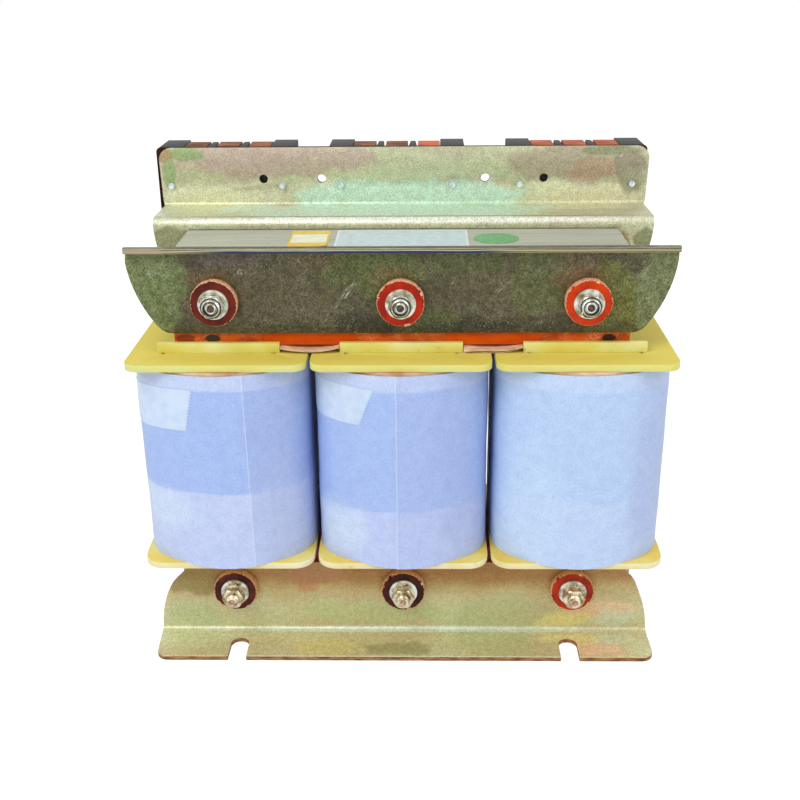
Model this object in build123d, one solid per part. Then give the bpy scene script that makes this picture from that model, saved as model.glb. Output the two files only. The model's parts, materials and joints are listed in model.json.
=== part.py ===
from build123d import *
import math
import os

# Three-phase motor starting reactor: a laminated three-leg core, a taped coil on each leg, four
# folded steel clamps that also make the feet and the terminal shelf, and three terminal blocks.
# Millimetres. X runs along the yokes, Y from front to rear, Z up from the mounting surface.

# Laminated core
LEG_PITCH = 113.0
LEG_WIDTH = 55.0
YOKE_HEIGHT = 55.0
CORE_DEPTH = 62.0
WINDOW_HEIGHT = 146.5
YOKE_BASE = 8.5
LEG_BLOCKS = 3
GAP_PLATE = 3.0

# Folded steel clamps, each reach measured from the face that lies on the boards. The gap is from
# the upper walls' free edge to the windows.
SHEET = 3.0
BEND = 2.5
CLAMP_LENGTH = 332.0
WALL_EDGE_GAP = 7.0
FOLD_RISE = 7.0
FOOT_REACH = 36.0
LIP_REACH = 10.3
SHELF_REACH = 44.0
UPSTAND = 41.6
END_SIDE_INSET = 4.4
END_TIP_INSET = 20.5
END_TIP_RADIUS = 12.0
FOOT_CORNER = 8.0
LIP_CORNER = 2.5
UPSTAND_CORNER = 8.0

# Slots in the feet, open to the outside
FOOT_SLOT_PITCH = 220.0
FOOT_SLOT_WIDTH = 12.2
FOOT_SLOT_DEPTH = 21.0

# Insulating boards between core and clamps
BOARD = 3.0
CHANNEL_WEB = 1.5
PAPER = 0.8
PAPER_SAG = 2.9
PAPER_OVERHANG = 6.0
PAPER_PLAY = 0.4

# Bobbins
TUBE_PLAY_X = 2.5
TUBE_PLAY_Y = 3.0
TUBE_WALL = 4.0
FLANGE = 4.4
FLANGE_WIDTH = 110.6
FLANGE_DEPTH = 119.5
FLANGE_RADIUS = 9.0
CORNER_RELIEF = 3.0
BAR_LENGTH = 76.0
BAR_HEIGHT = 6.4
BOBBIN_PLAY = 4.1

# Coils, outside their wrap
COIL_WIDTH = 110.0
COIL_DEPTH = 124.8
COIL_SIDE_CROWN = 2.0
COIL_FRONT_CROWN = 21.9
COIL_RADIUS = 28.0
WRAP = 1.0
WRAP_MARGIN = 1.6
COIL_PLAY = 0.3

# Insulated clamping bolts
BOLT = 8.0
SLEEVE = 10.0
HOLE_PLAY = 0.4
THREAD_PLAY = 0.2
SLEEVE_END_PLAY = 0.3
INSULATOR = 28.6
INSULATOR_THICK = 6.0
WASHER = 18.6
WASHER_THICK = 1.6
SPRING_WASHER = 14.0
SPRING_WASHER_THICK = 2.0
SPRING_WASHER_SPLIT = 1.2
NUT_FLATS = 13.0
CORNER_TURN = 1.0
NUT_THICK = 6.5
LOCK_NUT_THICK = 6.6
LOCK_COLLAR = 11.2
LOCK_COLLAR_THICK = 1.9
HEAD_THICK = 5.3
UPPER_TAIL = -0.4
LOWER_TAIL = 4.0
THREAD_CHAMFER = 0.8

# Terminal shelf
TERMINAL_BOARD = 2.0
TERMINAL_BOARD_LENGTH = 333.0
TERMINAL_BOARD_SHIFT = -1.6
TERMINAL_BOARD_CORNER = 3.0
TERMINAL_BOARD_RISE = 0.2
TERMINAL_BOARD_HEIGHT = 47.0
SHELF_HOLE = 6.0
SHELF_HOLE_RISE = 17.6
SHELF_HOLE_INNER_PITCH = 111.5
SHELF_HOLE_OUTER_PITCH = 191.0

# Terminal blocks
BLOCK_CENTRES = {"left": -120.6, "middle": -4.5, "right": 117.2}
BLOCK_HEIGHT = 48.0
BLOCK_RISE = -0.2
BLOCK_DEPTH = 32.0
BLOCK_END = 16.0
BLOCK_BASE_DEPTH = 22.4
BLOCK_BASE_DROP = 3.2
BLOCK_BASE_LIFT = 5.0
BLOCK_EDGE = 0.9
POLES = 3
POLE_WIDTH = 16.0
BARRIER_ROOT = 6.0
BARRIER_TIP = 2.8
BARRIER_DROP = 0.2
BARRIER_CHAMFER = 7.7
CONDUCTOR = 3.0
CONDUCTOR_PLAY = 0.5
CONDUCTOR_SETBACK = 2.0
CONDUCTOR_BEND = 1.0
CONDUCTOR_DROP = 35.0
TERMINAL_SCREW = 5.0
TERMINAL_SCREW_LENGTH = 16.0
TERMINAL_SCREW_HEAD = 9.0
TERMINAL_SCREW_HEAD_THICK = 3.6
TERMINAL_WASHER = 11.0
TERMINAL_WASHER_THICK = 1.0
TERMINAL_SCREW_TOP_DROP = 12.0
TERMINAL_SCREW_PITCH = 20.0
DRIVER_SLOT = 1.2
DRIVER_SLOT_DEPTH = 1.6
BLOCK_SCREW = 4.0
BLOCK_SCREW_RISE = 13.5
BLOCK_SCREW_TIP = 2.2
BLOCK_SCREW_HEAD = 8.0
BLOCK_SCREW_HEAD_THICK = 3.2
BLOCK_SCREW_SEAT = 12.0

# Copper strips from the coils to the terminals, inset into the winding from the tube's face
TAP_WIDTH = 12.0
TAP = 2.0
TAP_PLAY = 0.5
TAP_BEND = 5.0
TAP_INSET = 11.75
TAP_RISE = 16.0
TAP_SLOPE_RISE = 40.0
TAP_END_LAP = 7.0

# Places that follow from the sizes above
SIDES = {"left": -1, "middle": 0, "right": 1}
LEG_X = {side: step * LEG_PITCH for side, step in SIDES.items()}
YOKE_LENGTH = 2 * LEG_PITCH + LEG_WIDTH
WINDOW_WIDTH = LEG_PITCH - LEG_WIDTH
WINDOW_X = {"left": -LEG_PITCH / 2, "right": LEG_PITCH / 2}
WINDOW_BOTTOM = YOKE_BASE + YOKE_HEIGHT
WINDOW_TOP = WINDOW_BOTTOM + WINDOW_HEIGHT
WALL_HEIGHT = FOLD_RISE + YOKE_HEIGHT - WALL_EDGE_GAP
LOWER_BOLT_Z = YOKE_BASE + YOKE_HEIGHT / 2
UPPER_BOLT_Z = WINDOW_TOP + YOKE_HEIGHT / 2
CLAMP_Y = CORE_DEPTH / 2 + BOARD
WALL_FACE_Y = CLAMP_Y + SHEET
FOLD_Z = WINDOW_TOP + YOKE_HEIGHT + FOLD_RISE

TUBE_INSIDE_X = LEG_WIDTH + 2 * TUBE_PLAY_X
TUBE_INSIDE_Y = CORE_DEPTH + 2 * TUBE_PLAY_Y
TUBE_X = TUBE_INSIDE_X + 2 * TUBE_WALL
TUBE_Y = TUBE_INSIDE_Y + 2 * TUBE_WALL
BOBBIN_BOTTOM = WINDOW_BOTTOM + CHANNEL_WEB
BOBBIN_TOP = WINDOW_TOP - CHANNEL_WEB - BOBBIN_PLAY
COIL_BOTTOM = BOBBIN_BOTTOM + FLANGE
COIL_TOP = BOBBIN_TOP - FLANGE - COIL_PLAY

UPSTAND_FACE_Y = CLAMP_Y + SHELF_REACH
UPSTAND_TOP = FOLD_Z - SHEET + UPSTAND
BLOCK_Y = UPSTAND_FACE_Y + TERMINAL_BOARD
BLOCK_TOP = UPSTAND_TOP + BLOCK_RISE
BLOCK_BOTTOM = BLOCK_TOP - BLOCK_HEIGHT
BLOCK_BASE_TOP = BLOCK_TOP - BLOCK_BASE_DROP
BLOCK_LENGTH = 2 * BLOCK_END + POLES * POLE_WIDTH + (POLES - 1) * BARRIER_ROOT
POLE_PITCH = POLE_WIDTH + BARRIER_ROOT
POLE_X = [(pole - (POLES - 1) / 2) * POLE_PITCH for pole in range(POLES)]
CONDUCTOR_FACE_Y = BLOCK_Y + BLOCK_BASE_DEPTH + CONDUCTOR
CONDUCTOR_TOP = BLOCK_BASE_TOP + CONDUCTOR
UPPER_SCREW_Z = CONDUCTOR_TOP - TERMINAL_SCREW_TOP_DROP
LOWER_SCREW_Z = UPPER_SCREW_Z - TERMINAL_SCREW_PITCH
BLOCK_SCREW_Z = FOLD_Z + BLOCK_SCREW_RISE
SHELF_HOLE_Z = FOLD_Z + SHELF_HOLE_RISE
TAP_Y = TUBE_Y / 2 + TAP_INSET
TAP_X = {side: [BLOCK_CENTRES[side] + x for x in POLE_X] for side in SIDES}

# The model's origin is at the middle of its footprint, so the core stands a little forward.
FRONT_REACH = CLAMP_Y + FOOT_REACH
REAR_REACH = BLOCK_Y + BLOCK_DEPTH
CORE_Y = (FRONT_REACH - REAR_REACH) / 2

FACING_FRONT = Rot(90, 0, 0)
FACING_REAR = Rot(-90, 0, 0)


def span(x, y, z):
    """Box between two limits along each axis."""
    sizes = [high - low for low, high in (x, y, z)]
    middle = [(low + high) / 2 for low, high in (x, y, z)]
    return Pos(*middle) * Box(*sizes)


def about(centre, width):
    """Limits of a width centred on a place."""
    return centre - width / 2, centre + width / 2


def disc(diameter, low, high):
    """Round bar on the Z axis between two heights."""
    return Pos(0, 0, (low + high) / 2) * Cylinder(diameter / 2, high - low)


def hexagon(flats, low, high, turned_high):
    """Hexagonal bar on the Z axis, with its corners turned off at one end."""
    bar = Pos(0, 0, low) * extrude(RegularPolygon(flats / 2, 6, major_radius=False), high - low)
    blank = disc(2 * flats / math.sqrt(3), low, high)
    rims = blank.edges().filter_by(GeomType.CIRCLE).sort_by(Axis.Z)
    return bar & chamfer(rims[-1] if turned_high else rims[0], CORNER_TURN)


def group(solids):
    """Several like pieces as one node."""
    return Compound([solid for shape in solids for solid in shape.solids()])


def bolt_holes(z, diameter):
    """Bars along Y that cut the clamping bolts' holes at one height."""
    depth = 2 * (CLAMP_Y + SHEET + INSULATOR_THICK)
    bar = Rot(90, 0, 0) * Cylinder(diameter / 2, depth)
    return [Pos(x, 0, z) * bar for x in LEG_X.values()]


def make_yoke(bottom, bolt_z):
    """Stack of straight steel strips across all legs, drilled for the clamping bolts."""
    yoke = span(about(0, YOKE_LENGTH), about(0, CORE_DEPTH), (bottom, bottom + YOKE_HEIGHT))
    return yoke - bolt_holes(bolt_z, SLEEVE + HOLE_PLAY)


def leg_levels():
    """Bottom of each steel block and of each gap plate in a leg, with the block's height."""
    block = (WINDOW_HEIGHT - (LEG_BLOCKS + 1) * GAP_PLATE) / LEG_BLOCKS
    step = block + GAP_PLATE
    plates = [WINDOW_BOTTOM + index * step for index in range(LEG_BLOCKS + 1)]
    blocks = [WINDOW_BOTTOM + GAP_PLATE + index * step for index in range(LEG_BLOCKS)]
    return blocks, plates, block


def make_leg(x):
    """Steel blocks of one leg."""
    blocks, _, height = leg_levels()
    return group(
        span(about(x, LEG_WIDTH), about(0, CORE_DEPTH), (z, z + height)) for z in blocks
    )


def make_gap_plates():
    """Non-magnetic plates between the steel blocks of every leg."""
    _, plates, _ = leg_levels()
    return group(
        span(about(x, LEG_WIDTH), about(0, CORE_DEPTH), (z, z + GAP_PLATE))
        for x in LEG_X.values()
        for z in plates
    )


def clamp_section(reach, upstand):
    """Folded section: wall up from the fold, flange out to the front, upstand down from it."""
    outer = BEND + SHEET
    corners = [
        ((0, 0), outer),
        ((0, WALL_HEIGHT), 0),
        ((-SHEET, WALL_HEIGHT), 0),
        ((-SHEET, SHEET), BEND),
    ]
    if upstand:
        corners += [
            ((-reach, SHEET), outer),
            ((-reach, SHEET - upstand), 0),
            ((SHEET - reach, SHEET - upstand), 0),
            ((SHEET - reach, 0), BEND),
        ]
    else:
        corners += [((-reach, SHEET), 0), ((-reach, 0), 0)]
    points = [point for point, _ in corners]
    radii = [radius for _, radius in corners]
    return Plane.YZ * make_face(FilletPolyline(*points, radius=radii, close=True))


def clamp_outline(depth):
    """Front view of a clamp: ends that curve in towards the wall's free edge."""
    half = CLAMP_LENGTH / 2
    tip = half - END_TIP_INSET
    side = half - END_SIDE_INSET
    outline = Curve() + [
        ThreePointArc((half, 0), (side, WALL_HEIGHT / 2), (tip, WALL_HEIGHT)),
        Line((tip, WALL_HEIGHT), (-tip, WALL_HEIGHT)),
        ThreePointArc((-tip, WALL_HEIGHT), (-side, WALL_HEIGHT / 2), (-half, 0)),
        Line((-half, 0), (-half, -depth)),
        Line((-half, -depth), (half, -depth)),
        Line((half, -depth), (half, 0)),
    ]
    return Plane.XZ * make_face(outline)


def make_clamp(reach, corner, upstand=0.0):
    """Folded clamp with its fold on the X axis, wall up and flange to the front."""
    clamp = extrude(clamp_section(reach, upstand), CLAMP_LENGTH / 2, both=True)
    clamp &= extrude(clamp_outline(upstand + SHEET), reach + SHEET, both=True)
    clamp = fillet(clamp.edges().filter_by(Axis.Y).group_by(Axis.Z)[-1], END_TIP_RADIUS)
    if upstand:
        return fillet(clamp.edges().filter_by(Axis.Y).group_by(Axis.Z)[0], corner)
    return fillet(clamp.edges().filter_by(Axis.Z).group_by(Axis.Y)[0], corner)


def foot_slot(x):
    """Slot through a foot, open at its outer edge and round at its inner end."""
    round_y = FOOT_SLOT_DEPTH - FOOT_SLOT_WIDTH / 2 - FOOT_REACH
    slot = span(about(x, FOOT_SLOT_WIDTH), (-FOOT_REACH - SHEET, round_y), about(0, 4 * SHEET))
    return slot + Pos(x, round_y, 0) * Cylinder(FOOT_SLOT_WIDTH / 2, 4 * SHEET)


def make_lower_clamp(turn):
    """Lower clamp, whose slotted flange is a foot."""
    clamp = make_clamp(FOOT_REACH, FOOT_CORNER)
    clamp -= [foot_slot(x) for x in about(0, FOOT_SLOT_PITCH)]
    clamp = Rot(0, 0, turn) * Pos(0, -CLAMP_Y, 0) * clamp
    return clamp - bolt_holes(LOWER_BOLT_Z, SLEEVE + HOLE_PLAY)


def make_upper_front_clamp():
    """Upper clamp with a short stiffening lip."""
    clamp = Pos(0, -CLAMP_Y, FOLD_Z) * Rot(180, 0, 0) * Rot(0, 0, 180) * make_clamp(LIP_REACH, LIP_CORNER)
    return clamp - bolt_holes(UPPER_BOLT_Z, SLEEVE + HOLE_PLAY)


def shelf_holes():
    """Bars that cut the free holes through the shelf's upstand and its board."""
    places = [*about(0, SHELF_HOLE_INNER_PITCH), *about(0, SHELF_HOLE_OUTER_PITCH)]
    bar = Rot(90, 0, 0) * Cylinder(SHELF_HOLE / 2, SHELF_REACH)
    return [Pos(x, UPSTAND_FACE_Y, SHELF_HOLE_Z) * bar for x in places]


def block_screw_places():
    """Place of each terminal block's fixing screws along X."""
    spread = BLOCK_LENGTH - BLOCK_END
    return [x for centre in BLOCK_CENTRES.values() for x in about(centre, spread)]


def block_screw_holes(diameter):
    """Bars that cut the terminal blocks' fixing holes."""
    bar = Rot(90, 0, 0) * Cylinder(diameter / 2, SHELF_REACH)
    return [Pos(x, UPSTAND_FACE_Y, BLOCK_SCREW_Z) * bar for x in block_screw_places()]


def make_upper_rear_clamp():
    """Upper clamp that runs back as a shelf and up as the terminals' mounting plate."""
    clamp = make_clamp(SHELF_REACH, UPSTAND_CORNER, UPSTAND)
    clamp = Pos(0, CLAMP_Y, FOLD_Z) * Rot(180, 0, 0) * clamp
    clamp -= bolt_holes(UPPER_BOLT_Z, SLEEVE + HOLE_PLAY)
    return clamp - shelf_holes() - block_screw_holes(BLOCK_SCREW + THREAD_PLAY)


def make_leg_boards(bottom, bolt_z):
    """Insulating boards over the ends of the legs, in front of and behind a yoke."""
    boards = [
        span(about(x, LEG_WIDTH), (y, y + BOARD), (bottom, bottom + YOKE_HEIGHT))
        for x in LEG_X.values()
        for y in (-CLAMP_Y, CORE_DEPTH / 2)
    ]
    holes = bolt_holes(bolt_z, SLEEVE + HOLE_PLAY)
    return group(board - holes for board in boards)


def make_window_channel(x, yoke_bottom, web_below):
    """Insulating channel that lines a yoke in one window: front, rear and the side to the coils."""
    top = yoke_bottom + YOKE_HEIGHT
    web_bottom = yoke_bottom - CHANNEL_WEB if web_below else top
    walls = (min(yoke_bottom, web_bottom), max(top, web_bottom + CHANNEL_WEB))
    channel = span(about(x, WINDOW_WIDTH), about(0, 2 * CLAMP_Y), walls)
    return channel - span(about(x, WINDOW_WIDTH), about(0, CORE_DEPTH), (yoke_bottom, top))


def make_window_sheet(x):
    """Stiff paper that sags between the upper channel and two bobbin flanges."""
    half = (LEG_PITCH - BAR_LENGTH) / 2 - PAPER_PLAY
    high = WINDOW_TOP - CHANNEL_WEB
    low = high - PAPER_SAG
    upper = ThreePointArc((-half, high), (0, low), (half, high))
    lower = ThreePointArc((half, high - PAPER), (0, low - PAPER), (-half, high - PAPER))
    ends = [Line((half, high), (half, high - PAPER)), Line((-half, high - PAPER), (-half, high))]
    section = make_face(Curve() + [upper, lower, *ends])
    return Pos(x, 0, 0) * extrude(Plane.XZ * section, CLAMP_Y + PAPER_OVERHANG, both=True)


def make_flange(x, bottom, taps=()):
    """Bobbin end plate with a square hole for the tube and a notch for each copper strip."""
    plate = RectangleRounded(FLANGE_WIDTH, FLANGE_DEPTH, FLANGE_RADIUS) - Rectangle(TUBE_X, TUBE_Y)
    corners = [(sx * TUBE_X / 2, sy * TUBE_Y / 2) for sx in (-1, 1) for sy in (-1, 1)]
    plate -= [Pos(*corner) * Circle(CORNER_RELIEF / 2) for corner in corners]
    notch_start = TAP_Y - TAP / 2 - TAP_PLAY
    notch_end = FLANGE_DEPTH / 2 + TAP
    notch = Rectangle(TAP_WIDTH + 2 * TAP_PLAY, notch_end - notch_start)
    plate -= [Pos(tap - x, (notch_start + notch_end) / 2) * notch for tap in taps]
    return Pos(x, 0, bottom) * extrude(plate, FLANGE)


def make_tube(x):
    """Four-sided bobbin tube round a leg."""
    outline = Rectangle(TUBE_X, TUBE_Y) - Rectangle(TUBE_INSIDE_X, TUBE_INSIDE_Y)
    return Pos(x, 0, BOBBIN_BOTTOM) * extrude(outline, BOBBIN_TOP - BOBBIN_BOTTOM)


def make_bars(x):
    """Bars that lock the tube to the flanges, in front of and behind both yokes."""
    return group(
        span(about(x, BAR_LENGTH), about(side * (TUBE_Y - TUBE_WALL) / 2, TUBE_WALL), (z, z + BAR_HEIGHT))
        for side in (-1, 1)
        for z in (BOBBIN_BOTTOM - BAR_HEIGHT, BOBBIN_TOP)
    )


def coil_outline(inset):
    """Plan of a coil or of a layer inside it: crowned faces that run into large corner radii."""
    x, y = COIL_WIDTH / 2 - inset, COIL_DEPTH / 2 - inset
    corner_x, corner_y = x - COIL_SIDE_CROWN, y - COIL_FRONT_CROWN
    plan = make_face(
        Curve()
        + [
            ThreePointArc((-corner_x, -corner_y), (0, -y), (corner_x, -corner_y)),
            ThreePointArc((corner_x, -corner_y), (x, 0), (corner_x, corner_y)),
            ThreePointArc((corner_x, corner_y), (0, y), (-corner_x, corner_y)),
            ThreePointArc((-corner_x, corner_y), (-x, 0), (-corner_x, -corner_y)),
        ]
    )
    return fillet(plan.vertices(), COIL_RADIUS - inset)


def make_winding(x):
    """Copper winding with its layer insulation, filling the bobbin between the flanges."""
    plan = coil_outline(WRAP) - Rectangle(TUBE_X, TUBE_Y)
    return Pos(x, 0, COIL_BOTTOM) * extrude(plan, COIL_TOP - COIL_BOTTOM)


def make_wrap(x):
    """Outer wrap of the coil, a little short of the upper flange."""
    plan = coil_outline(0) - coil_outline(WRAP)
    return Pos(x, 0, COIL_BOTTOM) * extrude(plan, COIL_TOP - WRAP_MARGIN - COIL_BOTTOM)


def on_bolts(z, piece, both_sides=True):
    """Copies of a piece at the three bolts, in front and, if asked, behind."""
    turns = (FACING_FRONT, FACING_REAR) if both_sides else (FACING_FRONT,)
    return group(Pos(x, 0, z) * turn * piece for x in LEG_X.values() for turn in turns)


def make_sleeve():
    """Insulating tube round a bolt, from clamp face to clamp face."""
    half = WALL_FACE_Y - SLEEVE_END_PLAY
    return disc(SLEEVE, -half, half) - disc(BOLT + THREAD_PLAY, -half, half)


def make_ring(diameter, bore, low, thick):
    """Flat washer that starts at a distance from the core's middle plane."""
    return disc(diameter, low, low + thick) - disc(bore, low, low + thick)


def make_spring_washer(low):
    """Split washer under a nut."""
    ring = make_ring(SPRING_WASHER, BOLT + THREAD_PLAY, low, SPRING_WASHER_THICK)
    split = span((0, SPRING_WASHER), about(0, SPRING_WASHER_SPLIT), (low, low + SPRING_WASHER_THICK))
    return ring - Rot(0, 0, 70) * split


def make_bolt(nut_end, tail):
    """Clamping bolt: head behind the rear washers, thread end at the front nut."""
    head_seat = -(WALL_FACE_Y + INSULATOR_THICK + WASHER_THICK)
    end = nut_end + tail
    shank = disc(BOLT, head_seat, end)
    shank = chamfer(shank.edges().sort_by(Axis.Z)[-1], THREAD_CHAMFER)
    return shank + hexagon(NUT_FLATS, head_seat - HEAD_THICK, head_seat, turned_high=False)


def make_nut(low):
    """Plain hexagon nut."""
    nut = hexagon(NUT_FLATS, low, low + NUT_THICK, turned_high=True)
    return nut - disc(BOLT + THREAD_PLAY, low, low + NUT_THICK)


def make_lock_nut(low):
    """Hexagon nut with a round locking collar."""
    top = low + LOCK_NUT_THICK
    nut = hexagon(NUT_FLATS, low, top, turned_high=True) + disc(LOCK_COLLAR, top, top + LOCK_COLLAR_THICK)
    nut = chamfer(nut.edges().filter_by(GeomType.CIRCLE).sort_by(Axis.Z)[-1], THREAD_CHAMFER)
    return nut - disc(BOLT + THREAD_PLAY, low, top + LOCK_COLLAR_THICK)


def make_terminal_board():
    """Insulating board between the upstand and the terminal blocks."""
    top = UPSTAND_TOP + TERMINAL_BOARD_RISE
    board = span(
        about(TERMINAL_BOARD_SHIFT, TERMINAL_BOARD_LENGTH),
        (UPSTAND_FACE_Y, BLOCK_Y),
        (top - TERMINAL_BOARD_HEIGHT, top),
    )
    board = fillet(board.edges().filter_by(Axis.Y), TERMINAL_BOARD_CORNER)
    return board - shelf_holes() - block_screw_holes(BLOCK_SCREW + THREAD_PLAY)


def make_terminal_block(centre):
    """Moulded body: base, two solid ends with fixing holes, and tapered barriers between poles."""
    low = BLOCK_BOTTOM
    base_x = about(0, BLOCK_LENGTH - BLOCK_END)
    base = span(base_x, (0, BLOCK_BASE_DEPTH), (low + BLOCK_BASE_LIFT, BLOCK_BASE_TOP))
    root, tip = BARRIER_ROOT / 2, BARRIER_TIP / 2
    plan = make_face(Polyline((-root, 0), (root, 0), (tip, BLOCK_DEPTH), (-tip, BLOCK_DEPTH), close=True))
    barrier = Pos(0, 0, low) * extrude(plan, BLOCK_HEIGHT - BARRIER_DROP)
    barrier_top = barrier.faces().sort_by(Axis.Z)[-1]
    barrier = chamfer(barrier_top.edges().sort_by(Axis.Y)[-1], BARRIER_CHAMFER)
    end = span(about(0, BLOCK_END), (0, BLOCK_DEPTH), (low, BLOCK_TOP))
    end = chamfer(end.faces().sort_by(Axis.Y)[-1].edges(), BLOCK_EDGE)
    block = base
    block += [Pos(x, 0, 0) * end for x in about(0, BLOCK_LENGTH - BLOCK_END)]
    block += [Pos(x + POLE_PITCH / 2, 0, 0) * barrier for x in POLE_X[:-1]]
    block = Pos(centre, BLOCK_Y, 0) * block
    screw = BLOCK_SCREW + THREAD_PLAY
    head = BLOCK_SCREW_HEAD + CONDUCTOR_PLAY
    well = BLOCK_DEPTH - BLOCK_SCREW_SEAT
    for x in about(centre, BLOCK_LENGTH - BLOCK_END):
        at = Pos(x, BLOCK_Y, BLOCK_SCREW_Z) * FACING_REAR
        block -= at * disc(screw, 0, BLOCK_SCREW_SEAT)
        block -= at * disc(head, BLOCK_SCREW_SEAT, BLOCK_SCREW_SEAT + well)
    for x in POLE_X:
        for z in (UPPER_SCREW_Z, LOWER_SCREW_Z):
            hole = disc(TERMINAL_SCREW + THREAD_PLAY, 0, BLOCK_BASE_DEPTH)
            block -= Pos(centre + x, BLOCK_Y, z) * FACING_REAR * hole
    return block


def make_conductors(centre):
    """Copper plates folded over the block's top and down its rear face, one in each pole."""
    rear = CONDUCTOR_FACE_Y
    corners = [
        ((BLOCK_Y + CONDUCTOR_SETBACK, BLOCK_BASE_TOP), 0),
        ((rear - CONDUCTOR, BLOCK_BASE_TOP), 0),
        ((rear - CONDUCTOR, CONDUCTOR_TOP - CONDUCTOR_DROP), 0),
        ((rear, CONDUCTOR_TOP - CONDUCTOR_DROP), 0),
        ((rear, CONDUCTOR_TOP), CONDUCTOR_BEND),
        ((BLOCK_Y + CONDUCTOR_SETBACK, CONDUCTOR_TOP), 0),
    ]
    points = [point for point, _ in corners]
    radii = [radius for _, radius in corners]
    section = Plane.YZ * make_face(FilletPolyline(*points, radius=radii, close=True))
    plate = extrude(section, POLE_WIDTH / 2 - CONDUCTOR_PLAY, both=True)
    hole = FACING_REAR * disc(TERMINAL_SCREW + THREAD_PLAY, 0, rear)
    plate -= [Pos(0, 0, z) * hole for z in (UPPER_SCREW_Z, LOWER_SCREW_Z)]
    return group(Pos(centre + x, 0, 0) * plate for x in POLE_X)


def make_screw(diameter, length, head, head_thick, washer, washer_thick):
    """Slotted pan-head screw along Z, its seat at zero, with a washer where one is given."""
    top = washer_thick + head_thick
    dome = disc(head, washer_thick, top)
    dome = fillet(dome.edges().filter_by(GeomType.CIRCLE).sort_by(Axis.Z)[-1], head_thick * 0.45)
    dome -= span(about(0, head), about(0, DRIVER_SLOT), (top - DRIVER_SLOT_DEPTH, top))
    screw = dome + disc(diameter, washer_thick - length, washer_thick)
    if washer_thick:
        screw += disc(washer, 0, washer_thick)
    return screw


def make_terminal_screws():
    """Two screws in each pole: the upper for the cable, the lower on the coil's copper strip."""
    screw = make_screw(
        TERMINAL_SCREW,
        TERMINAL_SCREW_LENGTH,
        TERMINAL_SCREW_HEAD,
        TERMINAL_SCREW_HEAD_THICK,
        TERMINAL_WASHER,
        TERMINAL_WASHER_THICK,
    )
    return group(
        Pos(centre + x, y, z) * FACING_REAR * screw
        for centre in BLOCK_CENTRES.values()
        for x in POLE_X
        for y, z in ((CONDUCTOR_FACE_Y, UPPER_SCREW_Z), (CONDUCTOR_FACE_Y + TAP, LOWER_SCREW_Z))
    )


def make_block_screws():
    """Screws that fix the blocks, with their tips through the upstand."""
    length = BLOCK_SCREW_SEAT + TERMINAL_BOARD + SHEET + BLOCK_SCREW_TIP
    screw = make_screw(BLOCK_SCREW, length, BLOCK_SCREW_HEAD, BLOCK_SCREW_HEAD_THICK, 0, 0)
    at_seat = BLOCK_Y + BLOCK_SCREW_SEAT
    return group(
        Pos(x, at_seat, BLOCK_SCREW_Z) * FACING_REAR * screw for x in block_screw_places()
    )


def make_tap_strips(taps):
    """Flat copper strips from a coil's rear, out past the shelf and up to the terminals."""
    end_y = CONDUCTOR_FACE_Y + TAP / 2
    foot_z = COIL_TOP
    knee_z = BOBBIN_TOP + TAP_RISE
    route = [
        (TAP_Y, foot_z),
        (TAP_Y, knee_z),
        (end_y, knee_z + TAP_SLOPE_RISE),
        (end_y, LOWER_SCREW_Z + TAP_END_LAP),
    ]
    path = Plane.YZ * FilletPolyline(*route, radius=TAP_BEND)
    start = Plane(path @ 0, x_dir=(1, 0, 0), z_dir=path % 0)
    strip = sweep(start * Rectangle(TAP_WIDTH, TAP), path)
    hole = FACING_REAR * disc(TERMINAL_SCREW + THREAD_PLAY, 0, end_y + TAP)
    strip -= Pos(0, 0, LOWER_SCREW_Z) * hole
    return group(Pos(x, 0, 0) * strip for x in taps)


def core_nodes():
    """Yokes, legs, gap plates and the insulation round them."""
    upper_yoke_bottom = WINDOW_TOP
    nodes = {
        "upper_yoke": make_yoke(upper_yoke_bottom, UPPER_BOLT_Z),
        "lower_yoke": make_yoke(YOKE_BASE, LOWER_BOLT_Z),
        "gap_plates": make_gap_plates(),
        "upper_leg_boards": make_leg_boards(upper_yoke_bottom, UPPER_BOLT_Z),
        "lower_leg_boards": make_leg_boards(YOKE_BASE, LOWER_BOLT_Z),
    }
    for side, x in LEG_X.items():
        nodes[f"leg_{side}"] = make_leg(x)
    for side, x in WINDOW_X.items():
        nodes[f"upper_window_channel_{side}"] = make_window_channel(x, upper_yoke_bottom, True)
        nodes[f"lower_window_channel_{side}"] = make_window_channel(x, YOKE_BASE, False)
        nodes[f"window_sheet_{side}"] = make_window_sheet(x)
    return nodes


def clamp_nodes():
    """The four folded clamps."""
    return {
        "upper_front_clamp": make_upper_front_clamp(),
        "upper_rear_clamp": make_upper_rear_clamp(),
        "lower_front_clamp": make_lower_clamp(0),
        "lower_rear_clamp": make_lower_clamp(180),
    }


def coil_nodes():
    """Bobbin, winding and wrap of each coil."""
    nodes = {}
    for side, x in LEG_X.items():
        nodes[f"upper_flange_{side}"] = make_flange(x, BOBBIN_TOP - FLANGE, TAP_X[side])
        nodes[f"lower_flange_{side}"] = make_flange(x, BOBBIN_BOTTOM)
        nodes[f"bobbin_tube_{side}"] = make_tube(x)
        nodes[f"bobbin_bars_{side}"] = make_bars(x)
        nodes[f"winding_{side}"] = make_winding(x)
        nodes[f"coil_wrap_{side}"] = make_wrap(x)
    return nodes


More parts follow.
